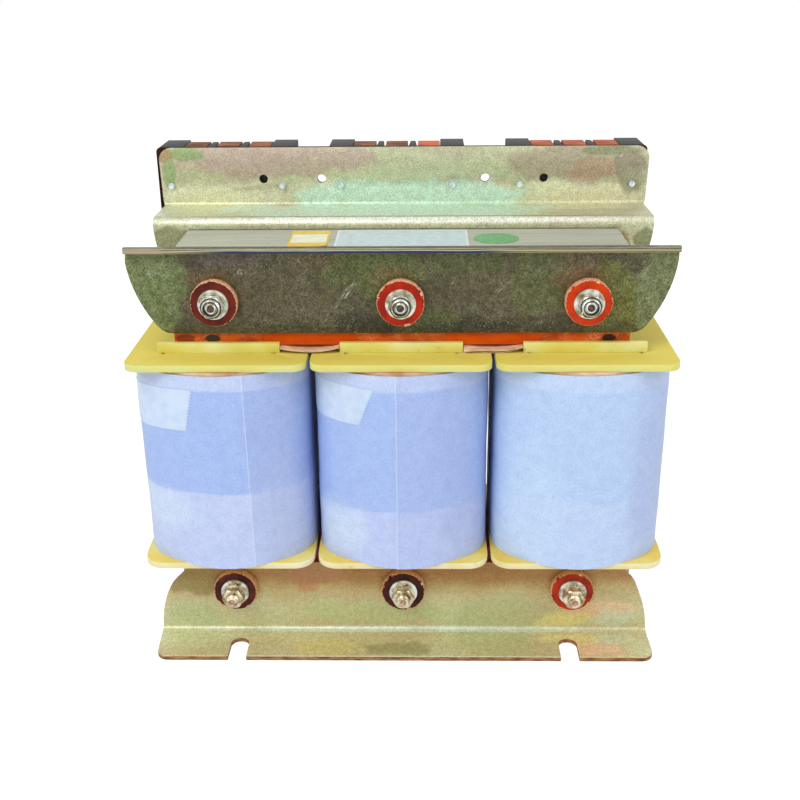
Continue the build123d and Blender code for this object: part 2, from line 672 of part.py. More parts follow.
def fastener_nodes():
    """Clamping bolts with their sleeves, washers and nuts."""
    bore = BOLT + THREAD_PLAY
    insulator = make_ring(INSULATOR, bore, WALL_FACE_Y, INSULATOR_THICK)
    washer_seat = WALL_FACE_Y + INSULATOR_THICK
    washer = make_ring(WASHER, bore, washer_seat, WASHER_THICK)
    upper_seat = washer_seat + WASHER_THICK
    lower_seat = upper_seat + SPRING_WASHER_THICK
    upper_end = upper_seat + LOCK_NUT_THICK + LOCK_COLLAR_THICK
    lower_end = lower_seat + NUT_THICK
    nodes = {
        "upper_bolts": on_bolts(UPPER_BOLT_Z, make_bolt(upper_end, UPPER_TAIL), False),
        "lower_bolts": on_bolts(LOWER_BOLT_Z, make_bolt(lower_end, LOWER_TAIL), False),
        "lock_nuts": on_bolts(UPPER_BOLT_Z, make_lock_nut(upper_seat), False),
        "lower_nuts": on_bolts(LOWER_BOLT_Z, make_nut(lower_seat), False),
        "spring_washers": on_bolts(LOWER_BOLT_Z, make_spring_washer(upper_seat), False),
    }
    for level, z in (("upper", UPPER_BOLT_Z), ("lower", LOWER_BOLT_Z)):
        nodes[f"{level}_sleeves"] = on_bolts(z, make_sleeve(), False)
        nodes[f"{level}_insulating_washers"] = on_bolts(z, insulator)
        nodes[f"{level}_steel_washers"] = on_bolts(z, washer)
    return nodes


def terminal_nodes():
    """Terminal board, blocks, conductors, screws and the strips from the coils."""
    nodes = {
        "terminal_board": make_terminal_board(),
        "terminal_screws": make_terminal_screws(),
        "block_screws": make_block_screws(),
    }
    for side, centre in BLOCK_CENTRES.items():
        nodes[f"terminal_block_{side}"] = make_terminal_block(centre)
        nodes[f"terminal_conductors_{side}"] = make_conductors(centre)
        nodes[f"tap_strips_{side}"] = make_tap_strips(TAP_X[side])
    return nodes


def main():
    """Writes one file for each node, moved so that the footprint is centred on the origin."""
    os.makedirs("parts", exist_ok=True)
    nodes = {**core_nodes(), **clamp_nodes(), **coil_nodes(), **fastener_nodes(), **terminal_nodes()}
    for name, shape in nodes.items():
        export_step(Pos(0, CORE_Y, 0) * shape, f"parts/{name}.step")
    print(f"{len(nodes)} nodes, core centre at y {CORE_Y:.2f}")


main()
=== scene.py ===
"""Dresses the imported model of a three-phase motor starting reactor.

Wraps, tape, washers, threads, sheet stacks, stickers and eased edges are modelled here around the
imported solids. Each finish is a small class. Lengths in the fields are millimetres, in the frame of
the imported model, and turn to metres where a mesh or a pattern is made.
"""

import json
import logging
import math
import random
from dataclasses import dataclass
from enum import Enum
from functools import partial
from typing import Any, Callable, Mapping, Sequence

import bmesh
import bpy
from mathutils import Matrix, Vector

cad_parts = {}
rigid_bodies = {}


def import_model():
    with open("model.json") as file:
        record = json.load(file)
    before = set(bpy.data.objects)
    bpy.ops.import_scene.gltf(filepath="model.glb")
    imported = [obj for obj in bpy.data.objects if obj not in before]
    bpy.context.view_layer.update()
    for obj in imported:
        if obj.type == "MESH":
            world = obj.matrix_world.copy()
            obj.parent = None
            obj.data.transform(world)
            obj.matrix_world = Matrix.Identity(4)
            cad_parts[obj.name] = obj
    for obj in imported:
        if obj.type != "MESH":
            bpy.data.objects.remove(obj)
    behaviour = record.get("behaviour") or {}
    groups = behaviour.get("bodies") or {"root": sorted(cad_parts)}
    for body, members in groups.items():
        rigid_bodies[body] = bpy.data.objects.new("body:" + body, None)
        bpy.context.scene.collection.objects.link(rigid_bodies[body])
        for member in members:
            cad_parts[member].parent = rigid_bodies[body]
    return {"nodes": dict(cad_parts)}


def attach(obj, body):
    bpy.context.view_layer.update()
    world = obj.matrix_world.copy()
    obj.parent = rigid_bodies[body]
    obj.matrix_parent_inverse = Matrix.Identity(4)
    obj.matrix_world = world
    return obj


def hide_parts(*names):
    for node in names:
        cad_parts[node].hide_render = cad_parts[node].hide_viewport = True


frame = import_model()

MM = 0.001
CORE_Y = -21.0
LEG_X = {"left": -113.0, "middle": 0.0, "right": 113.0}
WALL_FACE = 37.0
BOLT_Z = {"upper": 237.5, "lower": 36.0}
YOKE_TOP_Z = 264.5
BLANK_RADIUS = 88.0
TOOTHED_FROM = 0.98
BRIGHT_POLE_X = 8.0
LOCK_RING_RADIUS = 4.7
DROOP = 1.4
DROOP_START = 36.0
DROOP_LENGTH = 20.0
EVEN = (1.0, 1.0, 1.0)

Socket = bpy.types.NodeSocket
Limit = tuple[Socket, float, float, float]
FaceTest = Callable[[bpy.types.MeshPolygon], bool]
Stops = Sequence[tuple[float, str]]

log = logging.getLogger("reactor")


# Finishes


def linear(shade: str) -> tuple[float, float, float, float]:
    """Turns a display colour into a linear one.

    Args:
        shade: Six hexadecimal digits after a hash.

    Returns:
        Red, green, blue and a full alpha.
    """
    channels = [int(shade[i : i + 2], 16) / 255 for i in (1, 3, 5)]
    red, green, blue = (c / 12.92 if c <= 0.04045 else ((c + 0.055) / 1.055) ** 2.4 for c in channels)
    return red, green, blue, 1.0


class Recipe:
    """Node tree of one material or of the room."""

    def __init__(self, tree: bpy.types.NodeTree) -> None:
        """Empties a tree and notes the place on the piece, in metres.

        Args:
            tree: Node tree of a new material or world.
        """
        self.tree = tree
        self.tree.nodes.clear()
        self.place = self.add("TexCoord").outputs["Object"]

    def add(self, kind: str, inputs: Mapping[Any, Any] | None = None, **settings: Any) -> bpy.types.Node:
        """Adds a node with its settings and links.

        Args:
            kind: Node type without its common prefix.
            inputs: Value or source socket for each input, by name or number.
            settings: Properties of the node. The stops of a ramp are pairs of place and colour.

        Returns:
            The new node.
        """
        node = self.tree.nodes.new("ShaderNode" + kind)
        for key, value in settings.items():
            if key == "stops":
                elements = node.color_ramp.elements
                while len(elements) < len(value):
                    elements.new(0.5)
                for element, (place, shade) in zip(elements, value):
                    element.position = place
                    element.color = linear(shade)
            else:
                setattr(node, key, value)
        for key, value in (inputs or {}).items():
            if isinstance(value, Socket):
                self.tree.links.new(value, node.inputs[key])
            else:
                node.inputs[key].default_value = value
        return node

    def blotches(
        self,
        size: float,
        stretch: Sequence[float] = EVEN,
        detail: float = 3.0,
        shift: float = 0.0,
        turn: float = 0.0,
    ) -> Socket:
        """Soft cloudy pattern.

        Args:
            size: Width of one cloud in millimetres.
            stretch: How many times longer a cloud is along each axis.
            detail: Octaves of finer clouds.
            shift: Moves the pattern, so that two finishes differ.
            turn: Angle of the pattern about the Y axis, in degrees.

        Returns:
            A factor about 0.5.
        """
        scale = [1 / (size * MM * part) for part in stretch]
        turned = self.add("Mapping", {"Vector": self.place, "Rotation": (0, math.radians(turn), 0)})
        moved = self.add(
            "Mapping",
            {"Vector": turned.outputs[0], "Scale": scale, "Location": (shift, shift * 1.7, shift * 0.6)},
        )
        cloud = self.add("TexNoise", {"Vector": moved.outputs[0], "Scale": 1.0, "Detail": detail})
        return cloud.outputs[0]

    def wavy(
        self, value: Socket, pattern: Socket, reach: float, low: float = 0.3, high: float = 0.7
    ) -> Socket:
        """Makes a straight measure wander a little.

        Args:
            value: The measure, in metres.
            pattern: What it wanders by.
            reach: How far it goes either way, in millimetres.
            low: Value of the pattern at one end.
            high: Value of the pattern at the other end.

        Returns:
            The uneven measure.
        """
        sway = self.add("MapRange", {0: pattern, 1: low, 2: high, 3: -reach * MM, 4: reach * MM})
        return self.add("Math", {0: value, 1: sway.outputs[0]}, operation="ADD").outputs[0]

    def layer(self, under: Any, over: str | Socket, *limits: Limit) -> Socket:
        """Lays a colour over another where some patterns pass their limits.

        Args:
            under: The colour below.
            over: The colour above, as a shade or a socket.
            limits: For each pattern, its value where the layer starts, its value where the
                layer is full, and how strong the layer is there.

        Returns:
            The layered colour.
        """
        mask: Any = 1.0
        for pattern, start, full, most in limits:
            inputs = {0: pattern, 1: start, 2: full, 3: 0.0, 4: most}
            share = self.add("MapRange", inputs, interpolation_type="SMOOTHSTEP").outputs[0]
            mask = self.add("Math", {0: share, 1: mask}, operation="MULTIPLY").outputs[0]
        shade = linear(over) if isinstance(over, str) else over
        return self.add("Mix", {0: mask, 6: under, 7: shade}, data_type="RGBA").outputs[2]

    def veil(self, under: Socket, pattern: Socket, amount: float, stops: Stops) -> Socket:
        """Darkens a colour by a pattern.

        Args:
            under: The colour below.
            pattern: Where it is darkened.
            amount: How much.
            stops: Places and shades of the veil, up to white.

        Returns:
            The veiled colour.
        """
        shade = self.add("ValToRGB", {0: pattern}, stops=stops).outputs[0]
        inputs = {0: amount, 6: under, 7: shade}
        return self.add("Mix", inputs, data_type="RGBA", blend_type="MULTIPLY").outputs[2]

    def score(
        self,
        under: Socket,
        shade: str,
        patch: Limit,
        share: float,
        length: float,
        sets: Sequence[tuple[float, float]],
    ) -> Socket:
        """Draws fine straight handling marks over a colour.

        Args:
            under: The colour below.
            shade: Colour of the marks.
            patch: Limit of the pattern that says where they lie.
            share: How much of the surface they take there.
            length: Length of a mark in millimetres.
            sets: Angle in the XZ plane and shift of each set of marks.

        Returns:
            The scored colour.
        """
        width = 0.5  # drawn wider than the real 0.1 mm, so that it shows
        for turn, shift in sets:
            lines = self.blotches(width, (length / width, length / width, 1.0), 2.0, shift, turn)
            under = self.layer(under, shade, patch, (lines, 0.74 - share, 0.8 - share, 1.0))
        return under

    def finish(
        self,
        colour: Any,
        roughness: Any,
        metallic: float = 0.0,
        bump: Socket | None = None,
        depth: float = 0.1,
        **shader: Any,
    ) -> None:
        """Adds the surface shader and the output.

        Args:
            colour: Colour or its socket.
            roughness: Roughness or its socket.
            metallic: Share of metal.
            bump: Height pattern.
            depth: Depth of the bump in millimetres.
            shader: Further values by the shader's input names, with underscores for spaces.
        """
        inputs = {"Base Color": colour, "Roughness": roughness, "Metallic": metallic}
        inputs.update({key.replace("_", " "): value for key, value in shader.items()})
        if bump is not None:
            relief = self.add("Bump", {"Height": bump, "Distance": depth * MM, "Strength": 1.0})
            inputs["Normal"] = relief.outputs[0]
        surface = self.add("BsdfPrincipled", inputs)
        self.add("OutputMaterial", {"Surface": surface.outputs[0]})


@dataclass(frozen=True)
class Finish:
    """A named surface finish, made once and shared."""

    name: str

    def material(self) -> bpy.types.Material:
        """Returns the finish's material, which is made at the first call.

        Returns:
            The material, shared by all that wear the finish.
        """
        made = bpy.data.materials.get(self.name)
        if made is None:
            made = bpy.data.materials.new(self.name)
            made.use_nodes = True
            self.mix(Recipe(made.node_tree))
        return made

    def mix(self, recipe: Recipe) -> None:
        """Builds the node tree.

        Args:
            recipe: The empty tree.
        """
        raise NotImplementedError


@dataclass(frozen=True)
class Tint:
    """Soft cloud of another shade at a place on a surface."""

    shade: str
    centre: tuple[float, float, float]
    reach: tuple[float, float, float]
    strength: float = 0.8
    soft: float = 0.06
    ragged: float = 1.5

    def over(self, recipe: Recipe, under: Socket) -> Socket:
        """Lays the cloud over a colour.

        Args:
            recipe: The tree that is being built.
            under: The colour below.

        Returns:
            The tinted colour.
        """
        scale = [1 / (part * MM) for part in self.reach]
        shift = [-centre / part for centre, part in zip(self.centre, self.reach)]
        local = recipe.add("Mapping", {"Vector": recipe.place, "Scale": scale, "Location": shift})
        swells = {"Vector": recipe.place, "Scale": 60.0, "Detail": 4.0}  # 17 mm, as oil spreads, and as ragged where a tint is painted light
        cloud = recipe.add("TexNoise", swells)
        wander = recipe.add("VectorMath", {0: cloud.outputs[1], 1: (-0.5, -0.5, -0.5)}, operation="ADD")
        swing = {0: wander.outputs[0], 1: [self.ragged] * 3, 2: local.outputs[0]}
        moved = recipe.add("VectorMath", swing, operation="MULTIPLY_ADD")
        away = recipe.add("VectorMath", {0: moved.outputs[0]}, operation="LENGTH").outputs["Value"]
        return recipe.layer(under, self.shade, (away, 1.0 + self.soft, 0.8 - self.soft, self.strength))


@dataclass(frozen=True)
class Scrape:
    """Bundle of scratches at a place on an upright face."""

    centre: tuple[float, float]
    reach: tuple[float, float]
    turn: float
    strength: float = 0.7

    def over(self, recipe: Recipe, under: Socket, shade: str) -> Socket:
        """Lays the scratches over a colour.

        Args:
            recipe: The tree that is being built.
            under: The colour below.
            shade: Colour of the scratches.

        Returns:
            The scratched colour.
        """
        (x, z), (half_length, half_width) = self.centre, self.reach
        grid = {
            "Vector": recipe.place,
            "Location": (x * MM, 0, z * MM),
            "Rotation": (0, -math.radians(self.turn), 0),
            "Scale": (half_length * MM, 1, half_width * MM),
        }
        local = recipe.add("Mapping", grid, vector_type="TEXTURE").outputs[0]
        away = recipe.add("VectorMath", {0: local}, operation="LENGTH").outputs["Value"]
        drawn = recipe.add("VectorMath", {0: local, 1: (0.9, 1.0, 3.4)}, operation="MULTIPLY")
        lines = recipe.add("TexNoise", {"Vector": drawn.outputs[0], "Scale": 1.6, "Detail": 3.0})
        region = (away, 1.0, 0.45, self.strength)
        return recipe.layer(under, shade, region, (lines.outputs[0], 0.53, 0.6, 1.0))


@dataclass(frozen=True)
class ChromatedZinc(Finish):
    """Zinc plate with a yellow chromate film on rolled steel.

    The film gives a soft sheen that drifts between olive, gold, pink and mint. It is mottled and
    grained, with dark pits and bright specks, and handling went through it in fine marks. The tones
    and tints set for each clamp also hold painted reflections, painted highlights and painted shade.
    """

    tones: tuple[str, ...]
    tints: tuple[Tint, ...] = ()
    scrapes: tuple[Scrape, ...] = ()
    metallic: float = 0.45
    roughness: float = 0.42
    mark: str = "#D9D8C8"
    pit: str = "#37352A"
    marked: float = 0.05
    strokes: float = 0.3
    specks: float = 0.4
    mottled: float = 0.5
    grain_shade: str = "#B4B1A4"
    shift: float = 0.0

    def mix(self, recipe: Recipe) -> None:
        """Builds the node tree.

        Args:
            recipe: The empty tree.
        """
        drift = recipe.blotches(42.0, (1.8, 1.0, 0.8), 3.0, self.shift)
        last = len(self.tones) - 1
        stops = [(0.32 + 0.36 * step / last, tone) for step, tone in enumerate(self.tones)]
        colour = recipe.add("ValToRGB", {0: drift}, stops=stops).outputs[0]
        for tint in self.tints:
            colour = tint.over(recipe, colour)
        mottle = recipe.blotches(3.4, EVEN, 6.0, self.shift + 21.0)
        colour = recipe.veil(colour, mottle, self.mottled, ((0.36, "#B4B1A6"), (0.62, "#FFFFFF")))
        grain = recipe.blotches(0.9, EVEN, 4.0, self.shift + 3.0)  # drawn coarser than the real film
        colour = recipe.veil(colour, grain, 0.75, ((0.34, self.grain_shade), (0.6, "#FFFFFF")))
        pits = recipe.blotches(1.1, EVEN, 3.0, self.shift + 37.0)
        colour = recipe.layer(colour, self.pit, (pits, 0.36, 0.29, self.specks))
        bright = recipe.blotches(0.8, (1.0, 1.0, 1.4), 3.0, self.shift + 31.0)
        colour = recipe.layer(colour, self.mark, (bright, 0.66, 0.74, self.specks))
        patch = recipe.blotches(22.0, EVEN, 3.0, self.shift + 41.0)
        sets = [(35.0, 1.0), (-48.0, 7.0), (82.0, 13.0), (-8.0, 17.0)]
        sets = [(turn, self.shift + shift) for turn, shift in sets]
        worn = (patch, 0.36, 0.66, self.strokes)
        colour = recipe.score(colour, self.mark, worn, self.marked, 2.4, sets)
        for scrape in self.scrapes:
            colour = scrape.over(recipe, colour, self.mark)
        patchy = recipe.blotches(18.0, EVEN, 3.0, self.shift + 5.0)
        rough = recipe.add("MapRange", {0: patchy, 3: self.roughness - 0.08, 4: self.roughness + 0.12})
        recipe.finish(colour, rough.outputs[0], self.metallic, grain, 0.03)


@dataclass(frozen=True)
class LipEdge(Finish):
    """Front edge of the short lip, in level bands.

    Its navy where it turns under is painted shade, and its pale bands are painted highlights. It
    is olive towards both ends, and brown at one, where a painted highlight lies on the rounded corner.
    """

    level: float
    corner_highlight_end: float
    shade_band_end: float
    # Bands from the bottom up: the navy is painted shade, the pale bands are painted highlights
    navy: Stops
    olive: Stops
    half_height: float = 1.7

    def mix(self, recipe: Recipe) -> None:
        """Builds the node tree.

        Args:
            recipe: The empty tree.
        """
        across, _, height = recipe.add("SeparateXYZ", {0: recipe.place}).outputs
        streak = recipe.blotches(2.2, (14.0, 1.0, 1.0), 4.0)
        level = recipe.wavy(height, streak, 0.25)
        low, high = ((self.level + side * self.half_height) * MM for side in (-1, 1))
        part = recipe.add("MapRange", {0: level, 1: low, 2: high}).outputs[0]
        colour = recipe.add("ValToRGB", {0: part}, stops=self.navy).outputs[0]
        olive = recipe.add("ValToRGB", {0: part}, stops=self.olive).outputs[0]
        fades = ((self.corner_highlight_end + 44.0, self.corner_highlight_end + 6.0), (self.shade_band_end, self.shade_band_end + 30.0))
        for start, full in fades:
            colour = recipe.layer(colour, olive, (across, start * MM, full * MM, 1.0))
        # Pinkish brown at the left end: a painted highlight on the rounded corner
        brown = (across, (self.corner_highlight_end + 3.0) * MM, (self.corner_highlight_end - 2.0) * MM, 0.6)
        colour = recipe.layer(colour, "#B79E8C", brown)
        recipe.finish(colour, 0.4, 0.3, streak, 0.05)


@dataclass(frozen=True)
class RawEdge(Finish):
    """Sheared steel edge under a thin chromate film: brown to copper, rougher than the face."""

    dark: str
    light: str
    metallic: float = 0.35

    def mix(self, recipe: Recipe) -> None:
        """Builds the node tree.

        Args:
            recipe: The empty tree.
        """
        streak = recipe.blotches(1.6, (5.0, 1.0, 1.0), 4.0)
        stops = ((0.35, self.dark), (0.65, self.light))
        colour = recipe.add("ValToRGB", {0: streak}, stops=stops).outputs[0]
        recipe.finish(colour, 0.5, self.metallic, streak, 0.08)


@dataclass(frozen=True)
class PressedLaminate(Finish):
    """Pressed glass and resin sheet: waxy yellow, a little glow at its edges, dull gloss."""

    body: str
    deep: str
    pale: str
    stain: str
    tints: tuple[Tint, ...] = ()

    def mix(self, recipe: Recipe) -> None:
        """Builds the node tree.

        Args:
            recipe: The empty tree.
        """
        cloud = recipe.blotches(16.0, (1.6, 1.0, 1.0), 4.0)
        stops = ((0.3, self.deep), (0.52, self.body), (0.75, self.pale))
        colour = recipe.add("ValToRGB", {0: cloud}, stops=stops).outputs[0]
        dirt = recipe.blotches(5.0, EVEN, 5.0, 9.0)
        colour = recipe.layer(colour, self.stain, (dirt, 0.66, 0.76, 0.5))
        for tint in self.tints:
            colour = tint.over(recipe, colour)
        recipe.finish(
            colour,
            0.42,
            bump=recipe.blotches(0.8, EVEN, 3.0, 2.0),
            depth=0.03,
            Subsurface_Weight=0.12,
            Subsurface_Radius=(0.004, 0.003, 0.001),
            Subsurface_Scale=0.6,
        )


@dataclass(frozen=True)
class Board(Finish):
    """Varnished red pressboard: bright where it is clean, browner and scored where it was handled."""

    clean: str
    dull: str
    scored: float
    gloss: float = 0.35
    tints: tuple[Tint, ...] = ()

    def mix(self, recipe: Recipe) -> None:
        """Builds the node tree.

        Args:
            recipe: The empty tree.
        """
        cloud = recipe.blotches(7.0, (2.0, 1.0, 1.0), 4.0, 4.0)
        stops = ((0.35, self.dull), (0.6, self.clean))
        colour = recipe.add("ValToRGB", {0: cloud}, stops=stops).outputs[0]
        if self.scored:
            worn = (recipe.blotches(14.0, EVEN, 3.0, 11.0), 0.42, 0.6, 0.7)
            sets = ((20.0, 2.0), (64.0, 5.0), (-40.0, 8.0))
            colour = recipe.score(colour, "#E0A888", worn, self.scored, 5.0, sets)
        for tint in self.tints:
            colour = tint.over(recipe, colour)
        recipe.finish(colour, self.gloss, bump=cloud, depth=0.05, Specular_IOR_Level=0.2)


@dataclass(frozen=True)
class FibreWasher(Finish):
    """Punched red fibre: dense shiny face, with darker and brighter clouds in it."""

    face: str
    deep: str

    def mix(self, recipe: Recipe) -> None:
        """Builds the node tree.

        Args:
            recipe: The empty tree.
        """
        cloud = recipe.blotches(9.0, EVEN, 4.0, 1.0)
        stops = ((0.36, self.deep), (0.6, self.face))
        colour = recipe.add("ValToRGB", {0: cloud}, stops=stops).outputs[0]
        fibre = recipe.blotches(1.1, EVEN, 4.0, 6.0)
        colour = recipe.layer(colour, "#C98A6C", (fibre, 0.7, 0.76, 0.4))
        recipe.finish(colour, 0.4, bump=fibre, depth=0.04, Specular_IOR_Level=0.2)


@dataclass(frozen=True)
class Frayed(Finish):
    """Torn edge of pressed fibre: pale peach fluff with red showing through."""

    pale: str
    red: str
    share: float = 0.5

    def mix(self, recipe: Recipe) -> None:
        """Builds the node tree.

        Args:
            recipe: The empty tree.
        """
        fluff = recipe.blotches(1.1, EVEN, 5.0, 2.0)
        shows = (fluff, self.share - 0.08, self.share + 0.08, 1.0)
        colour = recipe.layer(linear(self.pale), self.red, shows)
        recipe.finish(colour, 0.8, bump=fluff, depth=0.25)


@dataclass(frozen=True)
class WrapFilm(Finish):
    """Pale blue polyester film over layered paper.

    Where the layers below end, the shade changes in level bands: a light band at the top, a deeper
    one behind the tape, and the lightest at the bottom. The film itself is smooth with a soft gloss.
    """

    band: str
    top: str
    bottom: str
    split: tuple[float, float]
    tints: tuple[Tint, ...] = ()
    seam: tuple[float, float] | None = None
    seam_heights: tuple[float, float] = (197.0, 70.0)
    # Painted shade in the crease past the seam
    crease_shade: str = "#A9B8E4"
    shift: float = 0.0

    def mix(self, recipe: Recipe) -> None:
        """Builds the node tree.

        Args:
            recipe: The empty tree.
        """
        across, depth, height = recipe.add("SeparateXYZ", {0: recipe.place}).outputs
        wander = recipe.blotches(30.0, (2.0, 2.0, 1.0), 2.0, self.shift)
        level = recipe.wavy(height, wander, 1.6)
        low, high = self.split
        above = (level, (high - 1.2) * MM, (high + 1.2) * MM, 1.0)
        below = (level, (low + 1.0) * MM, (low - 1.0) * MM, 1.0)
        colour = recipe.layer(linear(self.band), self.top, above)
        colour = recipe.layer(colour, self.bottom, below)
        for tint in self.tints:
            colour = tint.over(recipe, colour)
        if self.seam:
            colour = self.crease(recipe, colour, across, depth, height)
        mottle = recipe.blotches(6.0, (1.2, 1.2, 1.0), 6.0, self.shift + 2.0)
        colour = recipe.veil(colour, mottle, 0.3, ((0.34, "#DDE1EE"), (0.62, "#FFFFFF")))
        fine = recipe.blotches(0.9, (1.0, 1.0, 1.3), 4.0, self.shift + 4.0)
        colour = recipe.veil(colour, fine, 0.4, ((0.34, "#CBD2E8"), (0.6, "#FFFFFF")))
        fibres = recipe.blotches(1.6, EVEN, 4.0, self.shift + 8.0)
        colour = recipe.layer(colour, "#8299D2", (fibres, 0.34, 0.28, 0.45))
        recipe.finish(colour, 0.42, bump=fine, depth=0.03, Coat_Weight=0.12, Coat_Roughness=0.3)

    def crease(self, recipe: Recipe, under: Socket, *axes: Socket) -> Socket:
        """Lays a painted highlight along the film's outer end over a colour, and painted shade in the
        crease past it.

        Args:
            recipe: The tree that is being built.
            under: The colour below.
            axes: The place along X, Y and Z.

        Returns:
            The creased colour.
        """
        across, depth, height = axes
        (top, bottom), (high, low) = self.seam, self.seam_heights
        slope = (top - bottom) / (high - low)
        line = {0: height, 1: slope, 2: (bottom - low * slope) * MM}
        lean = recipe.add("Math", line, operation="MULTIPLY_ADD").outputs[0]
        off = recipe.add("Math", {0: across, 1: lean}, operation="SUBTRACT").outputs[0]
        off = recipe.wavy(off, recipe.blotches(5.0, shift=3.0), 0.4, 0.0, 1.0)
        near = recipe.add("Math", {0: off}, operation="ABSOLUTE").outputs[0]
        front = (depth, CORE_Y * MM, (CORE_Y - 8.0) * MM, 1.0)
        # Painted shade in the crease past the seam, then a painted highlight along the seam itself
        colour = recipe.layer(under, self.crease_shade, front, (off, 0.0, 0.5 * MM, 0.3))
        return recipe.layer(colour, "#DFEAFC", front, (near, 0.5 * MM, 0.1 * MM, 0.5))


@dataclass(frozen=True)
class LabelPaper(Finish):
    """Coated label paper with a pale margin round a field of colour."""

    margin: str
    field: str
    low: tuple[float, float]
    high: tuple[float, float]
    border: tuple[float, float] = (1.7, 1.7)
    blur: float = 0.2

    def mix(self, recipe: Recipe) -> None:
        """Builds the node tree.

        Args:
            recipe: The empty tree.
        """
        axes = recipe.add("SeparateXYZ", {0: recipe.place}).outputs
        limits: list[Limit] = []
        for axis, start, end, border in zip(axes, self.low, self.high, self.border):
            for edge, inward in ((start + border, self.blur), (end - border, -self.blur)):
                limits.append((axis, edge * MM, (edge + inward) * MM, 1.0))
        colour = recipe.layer(linear(self.margin), self.field, *limits)
        cloud = recipe.blotches(5.0, EVEN, 4.0)
        colour = recipe.veil(colour, cloud, 0.6, ((0.35, "#E2E2DC"), (0.62, "#FFFFFF")))
        recipe.finish(colour, 0.35, bump=cloud, depth=0.02)


@dataclass(frozen=True)
class Plain(Finish):
    """Even material with a slight mottle, for pieces that are small or mostly hidden.

    The lines above each one say what the material is and how it looks.
    """

    body: str
    deep: str
    roughness: float = 0.5
    metallic: float = 0.0
    grain: float = 3.0
    stretch: tuple[float, float, float] = EVEN
    depth: float = 0.04
    sheen: float = 0.5

    def mix(self, recipe: Recipe) -> None:
        """Builds the node tree.

        Args:
            recipe: The empty tree.
        """
        cloud = recipe.blotches(self.grain, self.stretch, 4.0)
        stops = ((0.35, self.deep), (0.62, self.body))
        colour = recipe.add("ValToRGB", {0: cloud}, stops=stops).outputs[0]
        recipe.finish(
            colour, self.roughness, self.metallic, cloud, self.depth, Specular_IOR_Level=self.sheen
        )


class Slot(Enum):
    """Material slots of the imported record."""

    CORE_STEEL = "core_steel"
    GAP_LAMINATE = "gap_laminate"
    ZINC_CLAMP = "zinc_clamp"
    RED_BOARD = "red_board"
    STIFF_PAPER = "stiff_paper"
    BOBBIN_LAMINATE = "bobbin_laminate"
    WINDING_COPPER = "winding_copper"
    WRAP_TAPE = "wrap_tape"
    FASTENER_STEEL = "fastener_steel"
    SLEEVE_PLASTIC = "sleeve_plastic"
    BLOCK_MOULDING = "block_moulding"
    TERMINAL_COPPER = "terminal_copper"


# Cold rolled electrical steel: even grey, with a faint grain along the sheets
SHEET_STEEL = Plain("sheet_steel", "#BBBDAC", "#A2A494", 0.45, 0.2, 0.9, (60.0, 1.0, 1.0))
# Glass and resin plate: dull straw
GAP_RESIN = Plain("gap_resin", "#C9B98A", "#A89868", 0.5)
# Calendered kraft paper: matt, with long pale fibres
KRAFT = Plain("kraft_paper", "#EBD3AE", "#CFA87C", 0.6, 0.0, 2.0, (3.0, 1.0, 1.0))
# Layer paper over enamelled copper: matt peach, browner in patches
WIRE = Plain("winding_paper", "#EDCDA8", "#C08A62", 0.6, 0.0, 9.0, (1.6, 1.0, 0.5))
# Extruded polyamide: waxy off-white
TUBE_PLASTIC = Plain("tube_plastic", "#D8D2BE", "#BDB69F", 0.4)
# Clear polyester tape over the film: paler and glossier than the film
TAPE_FILM = Plain("tape_film", "#CCDDF4", "#C0D4F0", 0.3, 0.0, 6.0)
# Moulded phenolic: dark grey, finely rough, with little gloss
MOULDED = Plain("moulded_phenolic", "#40453E", "#20242A", 0.55, grain=1.2, depth=0.08, sheen=0.2)
# Rolled copper bar: orange, and dark brown on the left-hand poles; no bright highlights on it
BAR_GRAIN = (2.4, 1.0, 1.0)
COPPER = Plain("rolled_copper", "#D2601A", "#7A2E0E", 0.45, 0.1, 9.0, BAR_GRAIN, sheen=0.15)
DARK_COPPER = Plain("dark_copper", "#9C5824", "#451A0C", 0.5, 0.1, 7.0, BAR_GRAIN, sheen=0.15)
# Bright zinc on turned steel, and chromated zinc on nuts: smooth, with clear highlights. Their dark clouds
# are a painted reflection of dark surroundings
ZINC_BRIGHT = Plain("zinc_bright", "#F2F3EA", "#8E8A66", 0.26, 0.6, 5.0, depth=0.0)
GOLD_ZINC = Plain("zinc_gold", "#F4EBCF", "#93774A", 0.26, 0.55, 4.5, depth=0.0)
# Ends of rolled threads: oily and dark, or bronze where the chromate film took
BOLT_CORE = Plain("bolt_core", "#6A5442", "#211812", 0.45, 0.1, 1.4)
BRONZED = Plain("bolt_face", "#D2B096", "#8A6248", 0.35, 0.4, 1.4)
# Insert of a lock nut: near black and dull, partly its own colour and partly painted shade in the recess
# round the bolt
LOCK_RING = Plain("lock_ring", "#34373C", "#15171B", 0.5, grain=1.4, sheen=0.25)
# Bluish zinc on the ends of small screws
TIP_ZINC = Plain("zinc_tip", "#F2FAFC", "#B4CACF", 0.3, 0.3, 1.6)
